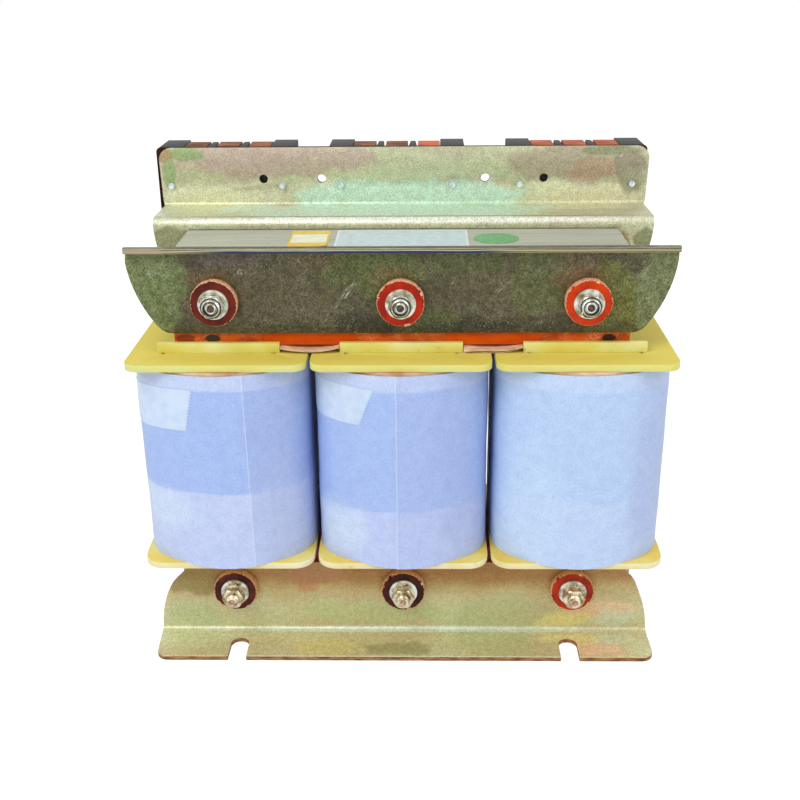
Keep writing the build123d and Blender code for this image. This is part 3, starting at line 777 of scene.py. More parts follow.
# Red pressboard of the terminal board in near black: painted shade behind the upstand. Tops of the boards:
# olive with dust
SHADED_TERMINAL_BOARD = Plain("terminal_board_shade", "#3A1B14", "#120C0E", 0.7, grain=12.0, sheen=0.1)
BOARD_TOP = Plain("board_top_edge", "#75704C", "#4C4830", 0.8)
LAMINATE = PressedLaminate(
    "bobbin_laminate",
    "#DCD05A",
    "#D5C048",
    "#DEDB84",
    "#B0983A",
    (
        Tint("#E2DF80", (124, -62, 207), (48, 26, 14), 0.8, 0.3),
        Tint("#F2EFB8", (108, -77, 207), (9, 3.4, 14), 0.6, 0.2, 0.8),
        Tint("#B8A43A", (-160, -34, 207), (13, 32, 14), 0.7, 0.3),
        Tint("#C8A83A", (-132, -64, 207), (9, 8, 14), 0.5, 0.3),
        Tint("#DCC236", (0, -70, 207), (44, 16, 14), 0.6, 0.3),
    ),
)
BAR_LAMINATE = PressedLaminate("bobbin_bar_laminate", "#DFD976", "#D9CB5C", "#E6E4A0", "#B8A648")
PALE_LAMINATE = PressedLaminate("bobbin_laminate_edge", "#DDD97C", "#D9CC6E", "#CFDB98", "#C2AE58")
LOWER_LAMINATE = PressedLaminate("lower_bobbin_laminate", "#E4CB5E", "#DFBF50", "#E8DC8C", "#B58A3C")
PALE_LOWER = PressedLaminate("lower_bobbin_edge", "#EDE4B4", "#E6D592", "#F0E8CC", "#C8A868")
CLEAN_BOARD = Board("channel_board", "#DA5404", "#CC4602", 0.0, 0.25)
WORN_BOARD = Board(
    "leg_board",
    "#DA5E14",
    "#AC440E",
    0.13,
    0.5,
    (
        # Near black spots at two holes in the board: painted shade in the holes
        Tint("#2B2A24", (-117.5, -55.0, 212.6), (5.0, 30.0, 2.6), 0.95),
        Tint("#241512", (128.3, -55.0, 212.4), (5.0, 30.0, 2.6), 0.95),
        Tint("#5E2412", (-134.0, -55.0, 213.0), (6.0, 30.0, 3.0), 0.7),
    ),
)
# Darker copy of the channel board, for the lower boards deep between the coils: painted shade
SHADED_BOARD = Board("lower_channel_board_shaded", "#7A1E0C", "#4F140A", 0.0, 0.5)
CUT_BROWN = RawEdge("sheared_edge", "#6E4022", "#B98A54")
# Near white on the cut edges of the rear upper clamp: a painted highlight along them
HIGHLIT_CUT_EDGE = RawEdge("sheared_edge_highlight", "#C2C09C", "#F6F6E8", 0.2)
LIP_EDGE = LipEdge(
    "lip_edge",
    270.5,
    -142.0,
    44.0,
    (
        (0.0, "#2B3C5A"),
        (0.44, "#182742"),
        (0.54, "#CFCBAE"),
        (0.66, "#8F8A66"),
        (0.78, "#4C4934"),
        (0.9, "#C8C6AC"),
    ),
    (
        (0.0, "#B5AC80"),
        (0.24, "#5E5436"),
        (0.46, "#C2B992"),
        (0.62, "#8E8660"),
        (0.76, "#443C28"),
        (0.88, "#B2AE90"),
    ),
)
FRAYED_RIM = Frayed("frayed_rim", "#E8B48C", "#B4582E", 0.6)


# Shaping


class Pick(Enum):
    """What a selection is made of."""

    VERTICES = ("VERT", "verts")
    EDGES = ("EDGE", "edges")
    FACES = ("FACE", "faces")


def clear_bench() -> None:
    """Leaves edit mode and deselects everything."""
    if bpy.context.object and bpy.context.object.mode != "OBJECT":
        bpy.ops.object.mode_set(mode="OBJECT")
    for obj in bpy.context.scene.objects:
        obj.select_set(False)


class Workpiece:
    """A mesh that is begun from a primitive or a copy, shaped in edit mode and then finished."""

    def __init__(self, name: str, obj: bpy.types.Object) -> None:
        """Takes a fresh object onto the bench.

        Args:
            name: Name of the piece.
            obj: The object.
        """
        obj.name = name
        obj.data.name = name
        self.obj = obj
        self.hold()

    @classmethod
    def block(cls, name: str, low: Sequence[float], high: Sequence[float]) -> "Workpiece":
        """Starts from a box between two corners, in millimetres.

        Args:
            name: Name of the piece.
            low: Its corner at the low end of each axis.
            high: The opposite corner.

        Returns:
            The piece.
        """
        clear_bench()
        centre = [(a + b) / 2 * MM for a, b in zip(low, high)]
        bpy.ops.mesh.primitive_cube_add(size=1.0, location=centre)
        piece = cls(name, bpy.context.object)
        piece.obj.scale = [(b - a) * MM for a, b in zip(low, high)]
        return piece.settle()

    @classmethod
    def tube(
        cls, name: str, centre: Sequence[float], radius: float, height: float, sides: int
    ) -> "Workpiece":
        """Starts from an open upright tube, in millimetres.

        Args:
            name: Name of the piece.
            centre: Its middle.
            radius: Its radius.
            height: Its height.
            sides: Number of its sides.

        Returns:
            The piece.
        """
        clear_bench()
        bpy.ops.mesh.primitive_cylinder_add(
            vertices=sides,
            radius=radius * MM,
            depth=height * MM,
            end_fill_type="NOTHING",
            location=[part * MM for part in centre],
        )
        return cls(name, bpy.context.object).settle()

    @classmethod
    def copy_of(cls, name: str, node: str) -> "Workpiece":
        """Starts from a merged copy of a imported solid.

        Args:
            name: Name of the piece.
            node: Name of the solid.

        Returns:
            The piece.
        """
        clear_bench()
        obj = bpy.data.objects.new(name, frame["nodes"][node].data.copy())
        bpy.context.scene.collection.objects.link(obj)
        piece = cls(name, obj)
        piece.pick(Pick.FACES)
        bpy.ops.mesh.customdata_custom_splitnormals_clear()
        bpy.ops.mesh.remove_doubles(threshold=0.000002)
        bpy.ops.mesh.dissolve_limited(angle_limit=math.radians(0.4))
        return piece

    @classmethod
    def turned(
        cls,
        name: str,
        profile: Sequence[tuple[float, float]],
        centre: Sequence[float],
        steps: int,
        to_front: bool = True,
    ) -> "Workpiece":
        """Starts from a closed outline that is spun about the Y axis.

        Args:
            name: Name of the piece.
            profile: Radius and distance out along the axis of each corner, in millimetres.
            centre: Where the axis starts.
            steps: Number of steps in the turn.
            to_front: Whether the piece points to the front.

        Returns:
            The ring.
        """
        clear_bench()
        bpy.ops.mesh.primitive_circle_add(vertices=len(profile), radius=0.001)
        piece = cls(name, bpy.context.object)
        out = -1 if to_front else 1
        for vertex, (radius, along) in zip(piece.obj.data.vertices, profile):
            vertex.co = (radius * MM, out * along * MM, 0.0)
        piece.pick(Pick.EDGES)
        bpy.ops.mesh.spin(
            steps=steps, angle=math.tau, center=(0, 0, 0), axis=(0, 1, 0), use_auto_merge=True
        )
        bpy.ops.mesh.select_all(action="SELECT")
        bpy.ops.mesh.remove_doubles(threshold=0.00001)
        bpy.ops.mesh.normals_make_consistent(inside=False)
        bpy.ops.object.mode_set(mode="OBJECT")
        piece.obj.location = [part * MM for part in centre]
        return piece.settle()

    def hold(self) -> None:
        """Makes this the only selected and the active object, in object mode."""
        clear_bench()
        self.obj.select_set(True)
        bpy.context.view_layer.objects.active = self.obj

    def settle(self) -> "Workpiece":
        """Puts the object's place, turn and scale into its mesh.

        Returns:
            The piece itself.
        """
        self.hold()
        bpy.ops.object.transform_apply(location=True, rotation=True, scale=True)
        return self

    def pick(self, kind: Pick, test: Callable[[Any], bool] | None = None) -> None:
        """Enters edit mode and selects what passes a test.

        Args:
            kind: Vertices, edges or faces.
            test: Takes one element. All are selected where no test is given.
        """
        self.hold()
        mode, layer = kind.value
        bpy.ops.object.mode_set(mode="EDIT")
        bpy.ops.mesh.select_mode(type=mode)
        bpy.ops.mesh.select_all(action="DESELECT")
        mesh = bmesh.from_edit_mesh(self.obj.data)
        mesh.normal_update()
        for item in getattr(mesh, layer):
            if test is None or test(item):
                item.select_set(True)
        mesh.select_flush_mode()
        bmesh.update_edit_mesh(self.obj.data)

    def modify(self, kind: str, **settings: Any) -> "Workpiece":
        """Adds a modifier and applies it.

        Args:
            kind: Type of the modifier.
            settings: Its properties.

        Returns:
            This piece.
        """
        self.hold()
        modifier = self.obj.modifiers.new(kind.lower(), kind)
        for key, value in settings.items():
            setattr(modifier, key, value)
        bpy.ops.object.modifier_apply(modifier=modifier.name)
        return self

    def ripple(self, size: float, height: float, seed: float = 0.0) -> "Workpiece":
        """Makes the surface slightly uneven.

        Args:
            size: Width of a swell in millimetres.
            height: Its height in millimetres.
            seed: Moves the pattern.

        Returns:
            This piece.
        """
        clouds = bpy.data.textures.new(self.obj.name + "_swell", "CLOUDS")
        clouds.noise_scale = size * MM
        clouds.noise_depth = 1
        self.obj.location = (seed, seed, seed)
        self.settle()
        self.modify("DISPLACE", texture=clouds, strength=height * MM, mid_level=0.5, texture_coords="LOCAL")
        self.obj.location = (-seed, -seed, -seed)
        return self.settle()

    def move_vertices(self, shift: Callable[[Vector], Vector]) -> "Workpiece":
        """Moves every vertex by what a function says of its place.

        Args:
            shift: Takes a place and returns the new one.

        Returns:
            This piece.
        """
        self.hold()
        for vertex in self.obj.data.vertices:
            vertex.co = shift(vertex.co.copy())
        self.obj.data.update()
        return self

    def ease(self, width: float = 0.3, segments: int = 2, angle: float = 35.0) -> "Workpiece":
        """Rounds the sharp edges a little.

        Args:
            width: Width of the rounding, in millimetres.
            segments: Steps across it.
            angle: Least angle between two faces that counts as sharp, in degrees.

        Returns:
            The piece itself.
        """
        return self.modify(
            "BEVEL",
            width=width * MM,
            segments=segments,
            limit_method="ANGLE",
            angle_limit=math.radians(angle),
            use_clamp_overlap=True,
            miter_outer="MITER_ARC",
        )

    def dress(
        self,
        finish: Finish,
        slot: Slot,
        replaces: Sequence[str] = (),
        second: Finish | None = None,
        where: FaceTest | None = None,
        smooth: float = 32.0,
    ) -> "Workpiece":
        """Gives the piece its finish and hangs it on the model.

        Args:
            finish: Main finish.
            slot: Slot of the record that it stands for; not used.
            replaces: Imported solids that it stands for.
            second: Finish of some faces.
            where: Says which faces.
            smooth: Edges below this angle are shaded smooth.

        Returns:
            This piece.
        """
        self.settle()
        self.obj.data.materials.clear()
        self.obj.data.materials.append(finish.material())
        if second is not None:
            self.obj.data.materials.append(second.material())
        for face in self.obj.data.polygons:
            face.material_index = 1 if second is not None and where(face) else 0
        bpy.ops.object.shade_smooth_by_angle(angle=math.radians(smooth))
        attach(self.obj, "root")
        if replaces:
            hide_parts(*replaces)
        log.info("%s: %d faces", self.obj.name, len(self.obj.data.polygons))
        return self


# Sub-assemblies


def per_side(stem: str) -> tuple[str, ...]:
    """Names of the three nodes that stand at the legs."""
    return tuple(f"{stem}_{side}" for side in LEG_X)


def is_upright(face: bpy.types.MeshPolygon) -> bool:
    """Whether a face of a plate belongs to its edge."""
    return abs(face.normal.z) < 0.6


def on_yoke_top(face: bpy.types.MeshPolygon) -> bool:
    """Whether a face lies level with the top of the upper yoke."""
    return face.center.z > YOKE_TOP_Z * MM


def eased(share: float) -> float:
    """Smooth step from zero to one."""
    share = max(0.0, min(1.0, share))
    return share * share * (3 - 2 * share)


def flange_droop(y: float) -> float:
    """How far a lower bobbin plate bends down at a distance from the core's middle plane."""
    return DROOP * eased((abs(y) - DROOP_START) / DROOP_LENGTH)


@dataclass
class LowerFlange:
    """Lower bobbin plate, whose front and rear bend down under the winding's pressure."""

    side: str
    half: tuple[float, float] = (55.3, 59.75)
    hole: tuple[float, float] = (34.05, 38.05)
    low: float = 65.0
    thick: float = 4.4
    corner: float = 13.0
    bends: tuple[float, ...] = (38.5, 42.0, 45.5, 49.0, 52.5, 56.0)

    def build(self) -> None:
        """Models the plate with round corners and its hole for the tube."""
        x, (half_x, half_y), top = LEG_X[self.side], self.half, self.low + self.thick
        plate = Workpiece.block(
            f"lower_flange_{self.side}_bent",
            (x - half_x, CORE_Y - half_y, self.low),
            (x + half_x, CORE_Y + half_y, top),
        )
        plate.pick(Pick.EDGES, lambda edge: abs(edge.verts[0].co.z - edge.verts[1].co.z) > 1.0 * MM)
        bpy.ops.mesh.bevel(offset=self.corner * MM, segments=12, affect="EDGES")
        for bend in self.bends:
            for y in (CORE_Y - bend, CORE_Y + bend):
                bpy.ops.mesh.select_all(action="SELECT")
                bpy.ops.mesh.bisect(plane_co=(0, y * MM, 0), plane_no=(0, 1, 0))
        wide, deep = self.hole
        cutter = Workpiece.block(
            "tube_hole", (x - wide, CORE_Y - deep, self.low - 5.0), (x + wide, CORE_Y + deep, top + 5.0)
        )
        plate.modify("BOOLEAN", operation="DIFFERENCE", object=cutter.obj)
        bpy.data.objects.remove(cutter.obj, do_unlink=True)
        plate.move_vertices(lambda place: place - Vector((0, 0, flange_droop(place.y / MM - CORE_Y) * MM)))
        plate.ease(0.45)
        replaced = [f"lower_flange_{self.side}"]
        plate.dress(LOWER_LAMINATE, Slot.BOBBIN_LAMINATE, replaced, PALE_LOWER, is_upright)


@dataclass
class CoilWrap:
    """Film and tape round one coil."""

    side: str
    film: WrapFilm
    seam: float | None = None
    tapes: tuple["TapeEnd", ...] = ()
    seed: float = 0.0
    low: float = 69.4
    high: float = 198.1
    thickness: float = 0.8
    side_belly: float = 0.5
    front_belly: float = 1.3
    overhang: float = 1.9
    columns: int = 288
    rows: int = 40

    def build(self) -> None:
        """Models the film round the coil, its seam and its tapes."""
        target = frame["nodes"][f"coil_wrap_{self.side}"]
        film = self.blank(f"film_{self.side}", self.low, self.high, self.rows)
        self.press(film, target, 0.0)
        film.move_vertices(self.fill_out)
        if self.seam is not None:
            self.raise_seam(film)
        film.ripple(34.0, 0.9, self.seed + 0.3)
        film.ripple(9.0, 0.12, self.seed + 0.7)
        film.modify("SOLIDIFY", thickness=self.thickness * MM, offset=-1.0, use_even_offset=True)
        film.dress(self.film, Slot.WRAP_TAPE, [f"coil_wrap_{self.side}"], smooth=50.0)
        for number, tape in enumerate(self.tapes, 1):
            strip = self.blank(f"tape_{self.side}_{number}", 0.0, tape.width, tape.rows)
            tape.cut(strip, LEG_X[self.side])
            self.press(strip, film.obj, 0.14)
            strip.modify("SOLIDIFY", thickness=0.1 * MM, offset=1.0)
            strip.dress(TAPE_FILM, Slot.WRAP_TAPE, smooth=50.0)

    def fill_out(self, place: Vector) -> Vector:
        """Bellies the film out towards its foot, where it sags a little over the flange's edge.

        Args:
            place: A point of the film.

        Returns:
            Its new place.
        """
        x, y = place.x / MM - LEG_X[self.side], place.y / MM - CORE_Y
        level = (place.z / MM - self.low) / (self.high - self.low)
        wide = 1 + self.side_belly / 55.0
        deep = 1 + (0.3 + self.front_belly * (1 - level)) / 62.0
        hang = self.overhang * eased(1.1 - abs(x) / 32.0) * eased((abs(y) - 50.0) / 10.0)
        drop = (flange_droop(y) + hang) * (1 - level) ** 3
        return Vector(((LEG_X[self.side] + x * wide) * MM, (CORE_Y + y * deep) * MM, place.z - drop * MM))

    def blank(self, name: str, low: float, high: float, rows: int) -> Workpiece:
        """Starts a tube of many rows round the coil.

        Args:
            name: Name of the piece.
            low: Height of its foot.
            high: Height of its top.
            rows: Number of its rows.

        Returns:
            The tube.
        """
        centre = (LEG_X[self.side], CORE_Y, (low + high) / 2)
        blank = Workpiece.tube(name, centre, BLANK_RADIUS, high - low, self.columns)
        blank.pick(Pick.EDGES, lambda edge: abs(edge.verts[0].co.z - edge.verts[1].co.z) > 0.1 * MM)
        bpy.ops.mesh.subdivide(number_cuts=rows - 1)
        return blank

    @staticmethod
    def press(piece: Workpiece, target: bpy.types.Object, gap: float) -> None:
        """Draws a tube in until it lies on the coil.

        Args:
            piece: The tube.
            target: What it is laid on.
            gap: How far it stands off, in millimetres.
        """
        piece.modify(
            "SHRINKWRAP",
            target=target,
            wrap_method="PROJECT",
            use_negative_direction=True,
            use_positive_direction=False,
            project_limit=0.0,
            offset=gap * MM,
        )

    def raise_seam(self, film: Workpiece) -> None:
        """Lifts the film's outer end, which runs down the front, and the crease beside it.

        Args:
            film: The film, in one piece.
        """
        edge = (LEG_X[self.side] + self.seam) * MM

        def at_seam(vertex: bmesh.types.BMVert) -> bool:
            """Whether a vertex lies on the seam."""
            return vertex.co.y < CORE_Y * MM and abs(vertex.co.x - edge) < 0.9 * MM

        film.pick(Pick.VERTICES, at_seam)
        bpy.ops.transform.shrink_fatten(value=0.35 * MM)

        def beyond_seam(vertex: bmesh.types.BMVert) -> bool:
            """Whether a vertex lies on the seam or in the crease beside it."""
            return vertex.co.y < CORE_Y * MM and edge - 0.6 * MM < vertex.co.x < edge + 14 * MM

        film.pick(Pick.VERTICES, beyond_seam)
        bpy.ops.transform.shrink_fatten(value=0.2 * MM)


@dataclass
class TapeEnd:
    """End of a tape on a coil: from a toothed cut at the front round to the side."""

    top: float
    cut_top: float
    cut_bottom: float
    far_end: float
    width: float
    far_drop: float
    tooth: float = 1.0
    rows: int = 26

    def cut(self, strip: Workpiece, leg: float) -> None:
        """Cuts a tube to the tape's length, slope and toothed end.

        Args:
            strip: Tube at height zero.
            leg: Place of the coil's leg along X.
        """

        def angle_of(place: Vector) -> float:
            """Angle of a place round the coil, in degrees from its front."""
            return math.degrees(math.atan2(place.x - leg * MM, -(place.y - CORE_Y * MM)))

        ends = sorted((self.cut_top, self.cut_bottom))
        strip.pick(
            Pick.FACES,
            lambda face: not self.far_end < angle_of(face.calc_center_median()) < ends[1],
        )
        bpy.ops.mesh.delete(type="FACE")
        bpy.ops.object.mode_set(mode="OBJECT")
        last = max(angle_of(vertex.co) for vertex in strip.obj.data.vertices)
        radius = BLANK_RADIUS * MM

        def laid(place: Vector) -> Vector:
            """Lays a point along the tape's slope and out to its toothed end.

            Args:
                place: A point of the strip.

            Returns:
                Its new place.
            """
            level = place.z / (self.width * MM)
            along = (angle_of(place) - self.far_end) / (last - self.far_end)
            row = round(level * self.rows)
            end = self.cut_bottom + (self.cut_top - self.cut_bottom) * level
            bite = self.tooth if row % 2 else 0.0
            if along > TOOTHED_FROM:
                end -= bite
            turn = math.radians(self.far_end + (end - self.far_end) * along)
            drop = (1 - level) * self.width + (1 - along) * self.far_drop
            x = leg * MM + radius * math.sin(turn)
            y = CORE_Y * MM - radius * math.cos(turn)
            return Vector((x, y, (self.top - drop) * MM))

        strip.move_vertices(laid)


@dataclass
class InsulatingWashers:
    """Punched fibre washers under the bolts' steel washers, with torn rims."""

    level: str
    faces: dict[str, FibreWasher]
    radius: float = 14.3
    bore: float = 4.2
    thick: float = 6.0
    steps: int = 120

    def build(self) -> None:
        """Models one washer for each end of each bolt."""
        node = f"{self.level}_insulating_washers"
        for index, (side, face) in enumerate(self.faces.items()):
            for front in (True, False):
                out = -1 if front else 1
                centre = (LEG_X[side], CORE_Y + out * WALL_FACE, BOLT_Z[self.level])
                end = "front" if front else "rear"
                piece = Workpiece.turned(
                    f"fibre_washer_{self.level}_{side}_{end}", self.profile(), centre, self.steps, front
                )
                self.tear(piece, centre, random.Random(7 * index + 3 * front + len(self.level)))
                rim = partial(self.is_rim, centre=centre)
                piece.dress(face, Slot.RED_BOARD, [node], FRAYED_RIM, rim, smooth=40.0)

    def profile(self) -> list[tuple[float, float]]:
        """Outline of the washer's section.

        Returns:
            Distance from the axis and along it, for each corner.
        """
        outer, bore, thick = self.radius, self.bore, self.thick
        return [
            (bore, 0.0),
            (outer - 0.2, 0.0),
            (outer, 0.5),
            (outer, thick * 0.5),
            (outer, thick - 0.7),
            (outer - 0.4, thick),
            (outer - 1.1, thick),
            (outer - 4.0, thick),
            (bore, thick),
        ]

    def is_rim(self, face: bpy.types.MeshPolygon, centre: Sequence[float]) -> bool:
        """Whether a face belongs to the torn rim."""
        across = math.hypot(face.center.x / MM - centre[0], face.center.z / MM - centre[2])
        return across > self.radius - 0.5

    def tear(self, piece: Workpiece, centre: Sequence[float], chance: random.Random) -> None:
        """Pulls bits out of the rim and pushes others in, as a dull punch leaves them.

        Args:
            piece: The washer.
            centre: Middle of its inner face.
            chance: Source of the random draws.
        """
        wave = [chance.uniform(-0.25, 0.25) for _ in range(self.steps)]
        for _ in range(9):
            start, depth = chance.randrange(self.steps), chance.uniform(-0.9, 0.7)
            for step in range(chance.randint(2, 6)):
                wave[(start + step) % self.steps] += depth

        def torn(place: Vector) -> Vector:
            """Moves a point of the rim in or out.

            Args:
                place: A point of the washer.

            Returns:
                Its new place.
            """
            x, z = place.x / MM - centre[0], place.z / MM - centre[2]
            across = math.hypot(x, z)
            if across < self.radius - 0.9:
                return place
            step = round((math.atan2(z, x) % math.tau) / math.tau * self.steps) % self.steps
            depth_share = abs(place.y / MM - centre[1]) / self.thick
            growth = 1 + wave[step] * (0.35 + 0.65 * depth_share) / across
            return Vector(((centre[0] + x * growth) * MM, place.y, (centre[2] + z * growth) * MM))

        piece.move_vertices(torn)


def from_bolt(face: bpy.types.MeshPolygon) -> float:
    """Distance of a face from the nearest bolt's axis, in millimetres."""
    x, z = face.center.x / MM, face.center.z / MM
    return min(math.hypot(x - leg, z - level) for leg in LEG_X.values() for level in BOLT_Z.values())


@dataclass
class Bolts:
    """Clamping bolts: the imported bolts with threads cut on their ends."""

    level: str
    face: float
    end: float
    radius: float = 4.0
    root: float = 3.45
    pitch: float = 1.25
    point: float = 1.0
    land: float = 0.7
    hollow: float = 0.5
    lead: float = 0.35
    steps: int = 48
    finish: Finish = ZINC_BRIGHT
    middle: Finish = BOLT_CORE

    def build(self) -> None:
        """Models the shanks and their threaded ends."""
        shanks = Workpiece.copy_of(f"bolt_shanks_{self.level}", f"{self.level}_bolts")
        shanks.pick(Pick.FACES)
        bpy.ops.mesh.bisect(
            plane_co=(0, (CORE_Y - self.face) * MM, 0), plane_no=(0, -1, 0), use_fill=True, clear_outer=True
        )
        shanks.dress(ZINC_BRIGHT, Slot.FASTENER_STEEL, [f"{self.level}_bolts"])
        for side, x in LEG_X.items():
            centre = (x, CORE_Y - self.face, BOLT_Z[self.level])
            tip = Workpiece.turned(f"bolt_end_{self.level}_{side}", self.profile(), centre, self.steps)
            tip.move_vertices(lambda place, c=centre: self.wind(place, c))
            tip.dress(self.finish, Slot.FASTENER_STEEL, (), self.middle, self.is_middle, smooth=25.0)

    def is_middle(self, face: bpy.types.MeshPolygon) -> bool:
        """Whether a face lies in the hollow of the end."""
        return from_bolt(face) < self.radius - self.point - self.land

    def profile(self) -> list[tuple[float, float]]:
        """Outline of a threaded end, on the axis at both ends.

        Returns:
            Distance from the axis and along it, for each corner.
        """
        length = self.end - self.face
        outline = [(0.0, 0.0), (self.root, 0.0)]
        along = self.pitch / 2
        while along < length - self.pitch:
            outline += [(self.radius, along), (self.root, along + self.pitch / 2)]
            along += self.pitch
        point = self.radius - self.point
        return outline + [
            (self.radius - self.point / 2, length - self.lead),
            (point, length),
            (point - self.land, length),
            (point - self.land - 0.4, length - self.hollow),
            (0.0, length - self.hollow),
        ]

    def wind(self, place: Vector, centre: Sequence[float]) -> Vector:
        """Shifts the ridges along the bolt as they go round, by one pitch for each turn.

        Args:
            place: A point of the thread.
            centre: Where the threaded end starts.

        Returns:
            Its new place.
        """
        along = centre[1] - place.y / MM
        length = self.end - self.face
        share = max(0.0, min(1.0, along / self.pitch, (length - self.lead - along) / self.pitch))
        turn = math.atan2(place.z / MM - centre[2], place.x / MM - centre[0]) / math.tau
        return Vector((place.x, place.y - share * turn * self.pitch * 0.5 * MM, place.z))


@dataclass
class SheetStack:
    """Yoke as bundles of steel sheet, each a little out of line with the next."""

    name: str
    node: str
    low: float
    seed: int
    half_length: float = 140.5
    depth: float = 62.0
    height: float = 55.0
    bundle: float = 1.55  # a bundle of three 0.5 mm sheets, so that the lines show

    def build(self) -> None:
        """Models the bundles and drills them for the bolts."""
        chance = random.Random(self.seed)
        count = round(self.depth / self.bundle)
        step = self.depth / count
        stack = Workpiece.block(
            self.name,
            (-self.half_length, CORE_Y - self.depth / 2, self.low),
            (self.half_length, CORE_Y - self.depth / 2 + step, self.low + self.height),
        )
        stack.ease(0.12, 1, 60.0)
        stack.modify(
            "ARRAY",
            count=count,
            use_relative_offset=False,
            use_constant_offset=True,
            constant_offset_displace=(0.0, step * MM, 0.0),
        )
        slips = [(chance.uniform(-0.3, 0.1), chance.uniform(-0.16, 0.0)) for _ in range(count)]

        vertices = stack.obj.data.vertices
        per_bundle = len(vertices) // count
        middle = (self.low + self.height / 2) * MM
        for row, (along, up) in enumerate(slips):
            for vertex in vertices[row * per_bundle : (row + 1) * per_bundle]:
                vertex.co.x += (along if vertex.co.x > 0 else -along) * MM
                vertex.co.z += (up if vertex.co.z > middle else -up) * MM
        stack.dress(SHEET_STEEL, Slot.CORE_STEEL, [self.node], smooth=20.0)


@dataclass
class Sticker:
    """Bare sticker on the upper yoke."""

    name: str
    finish: Finish
    low: tuple[float, float]
    high: tuple[float, float]
    corner: float
    lift: float = 0.5
    curl: float = 7.0
    seat: float = 265.02
    thick: float = 0.14

    def build(self) -> None:
        """Models a thin plate with round corners, one of which has come up a little."""
        clear_bench()
        size = [(b - a) * MM for a, b in zip(self.low, self.high)]
        centre = [(a + b) / 2 * MM for a, b in zip(self.low, self.high)]
        place = (centre[0], centre[1] + CORE_Y * MM, self.seat * MM)
        bpy.ops.mesh.primitive_plane_add(size=1.0, location=place)
        plate = Workpiece(self.name, bpy.context.object)
        plate.obj.scale = (size[0], size[1], 1.0)
        plate.settle()
        plate.pick(Pick.VERTICES)
        bpy.ops.mesh.bevel(offset=self.corner * MM, segments=10, affect="VERTICES")
        for share in (0.25, 0.5, 0.75):
            for axis, normal in ((0, (1, 0, 0)), (1, (0, 1, 0))):
                start = self.low[axis] + (CORE_Y if axis else 0.0)
                spot = [0.0, 0.0, 0.0]
                spot[axis] = (start + (self.high[axis] - self.low[axis]) * share) * MM
                bpy.ops.mesh.select_all(action="SELECT")
                bpy.ops.mesh.bisect(plane_co=spot, plane_no=normal)
        corner = Vector((self.high[0], self.low[1] + CORE_Y, self.seat)) * MM

        def curled(place: Vector) -> Vector:
            """Lifts a point near the loose corner."""
            near = max(0.0, 1 - (place - corner).length / (self.curl * MM))
            return place + Vector((0.0, 0.0, self.lift * near * near * MM))

        bpy.ops.object.mode_set(mode="OBJECT")
        plate.move_vertices(curled)
        plate.modify("SOLIDIFY", thickness=self.thick * MM, offset=1.0)
        plate.dress(self.finish, Slot.STIFF_PAPER, smooth=30.0)


@dataclass
class WindowPaper:
    """Two loose layers of stiff paper that sag between yoke and bobbins in one window."""

    side: str
    x: float
    sags: tuple[float, float]
    curl: float
    half: float = 18.1
    reach: float = 40.0
    seat: float = 208.5

    def build(self) -> None:
        """Models both layers."""
        for layer, sag in enumerate(self.sags):
            clear_bench()
            place = (self.x * MM, CORE_Y * MM, self.seat * MM)
            bpy.ops.mesh.primitive_grid_add(x_subdivisions=36, y_subdivisions=20, size=2.0, location=place)
            name = f"window_paper_{self.side}_{layer + 1}"
            sheet = Workpiece(name, bpy.context.object)
            sheet.obj.scale = (self.half * MM, (self.reach - layer * 1.2) * MM, 1.0)
            sheet.settle()
            sheet.move_vertices(lambda place, s=sag, n=layer: self.hang(place, s, n))
            sheet.modify("SOLIDIFY", thickness=0.35 * MM, offset=-1.0)
            sheet.dress(KRAFT, Slot.STIFF_PAPER, [f"window_sheet_{self.side}"], smooth=40.0)

    def hang(self, place: Vector, sag: float, layer: int) -> Vector:
        """Sags the sheet and curls its front edge down at one end.

        Args:
            place: A point of the flat sheet.
            sag: How far its middle hangs.
            layer: Zero for the upper layer and one for the lower.

        Returns:
            Its new place.
        """
        across = (place.x / MM - self.x) / self.half
        front = max(0.0, (CORE_Y - place.y / MM) / self.reach - 0.82) / 0.18
        side = max(0.0, -across * math.copysign(1.0, self.curl) - 0.45)
        drop = sag * (1 - across * across) + abs(self.curl) * front * side * (1 + layer)
        return place - Vector((0.0, 0.0, (drop + 0.02 + 0.36 * layer) * MM))


@dataclass
class EasedCopies:
    """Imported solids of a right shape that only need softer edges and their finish."""

    nodes: tuple[str, ...]
    finish: Finish
    slot: Slot
    width: float = 0.3
    second: Finish | None = None
    where: FaceTest | None = None

    def build(self) -> None:
        """Models one eased copy of each solid."""
        for node in self.nodes:
            copy = Workpiece.copy_of(f"{node}_eased", node)
            copy.ease(self.width)
            copy.dress(self.finish, self.slot, [node], self.second, self.where)


@dataclass(frozen=True)
class EndTrim:
    """How far a clamp's two ends stand in from their drawn outline.

    Each end is a row of pairs, of a height and how far the end stands in there.
    """

    left: tuple[tuple[float, float], ...]
    right: tuple[tuple[float, float], ...]
    front_left: float = 0.0
    start: float = 118.0
    full: float = 156.0

    def apply(self, place: Vector) -> Vector:
        """Moves a point near an end along X.

        Args:
            place: A point of the clamp.

        Returns:
            Its new place.
        """
        x, y, z = (part / MM for part in place)
        row = self.left if x < 0 else self.right
        inward = row[-1][1]
        for (low, at_low), (high, at_high) in zip(row, row[1:]):
            if z < high:
                share = max(0.0, (z - low) / (high - low))
                inward = at_low + (at_high - at_low) * share
                break
        if x < 0:
            inward += self.front_left * eased((-60.0 - y) / 25.0)
        inward *= eased((abs(x) - self.start) / (self.full - self.start))
        return place - Vector((math.copysign(inward, x) * MM, 0.0, 0.0))


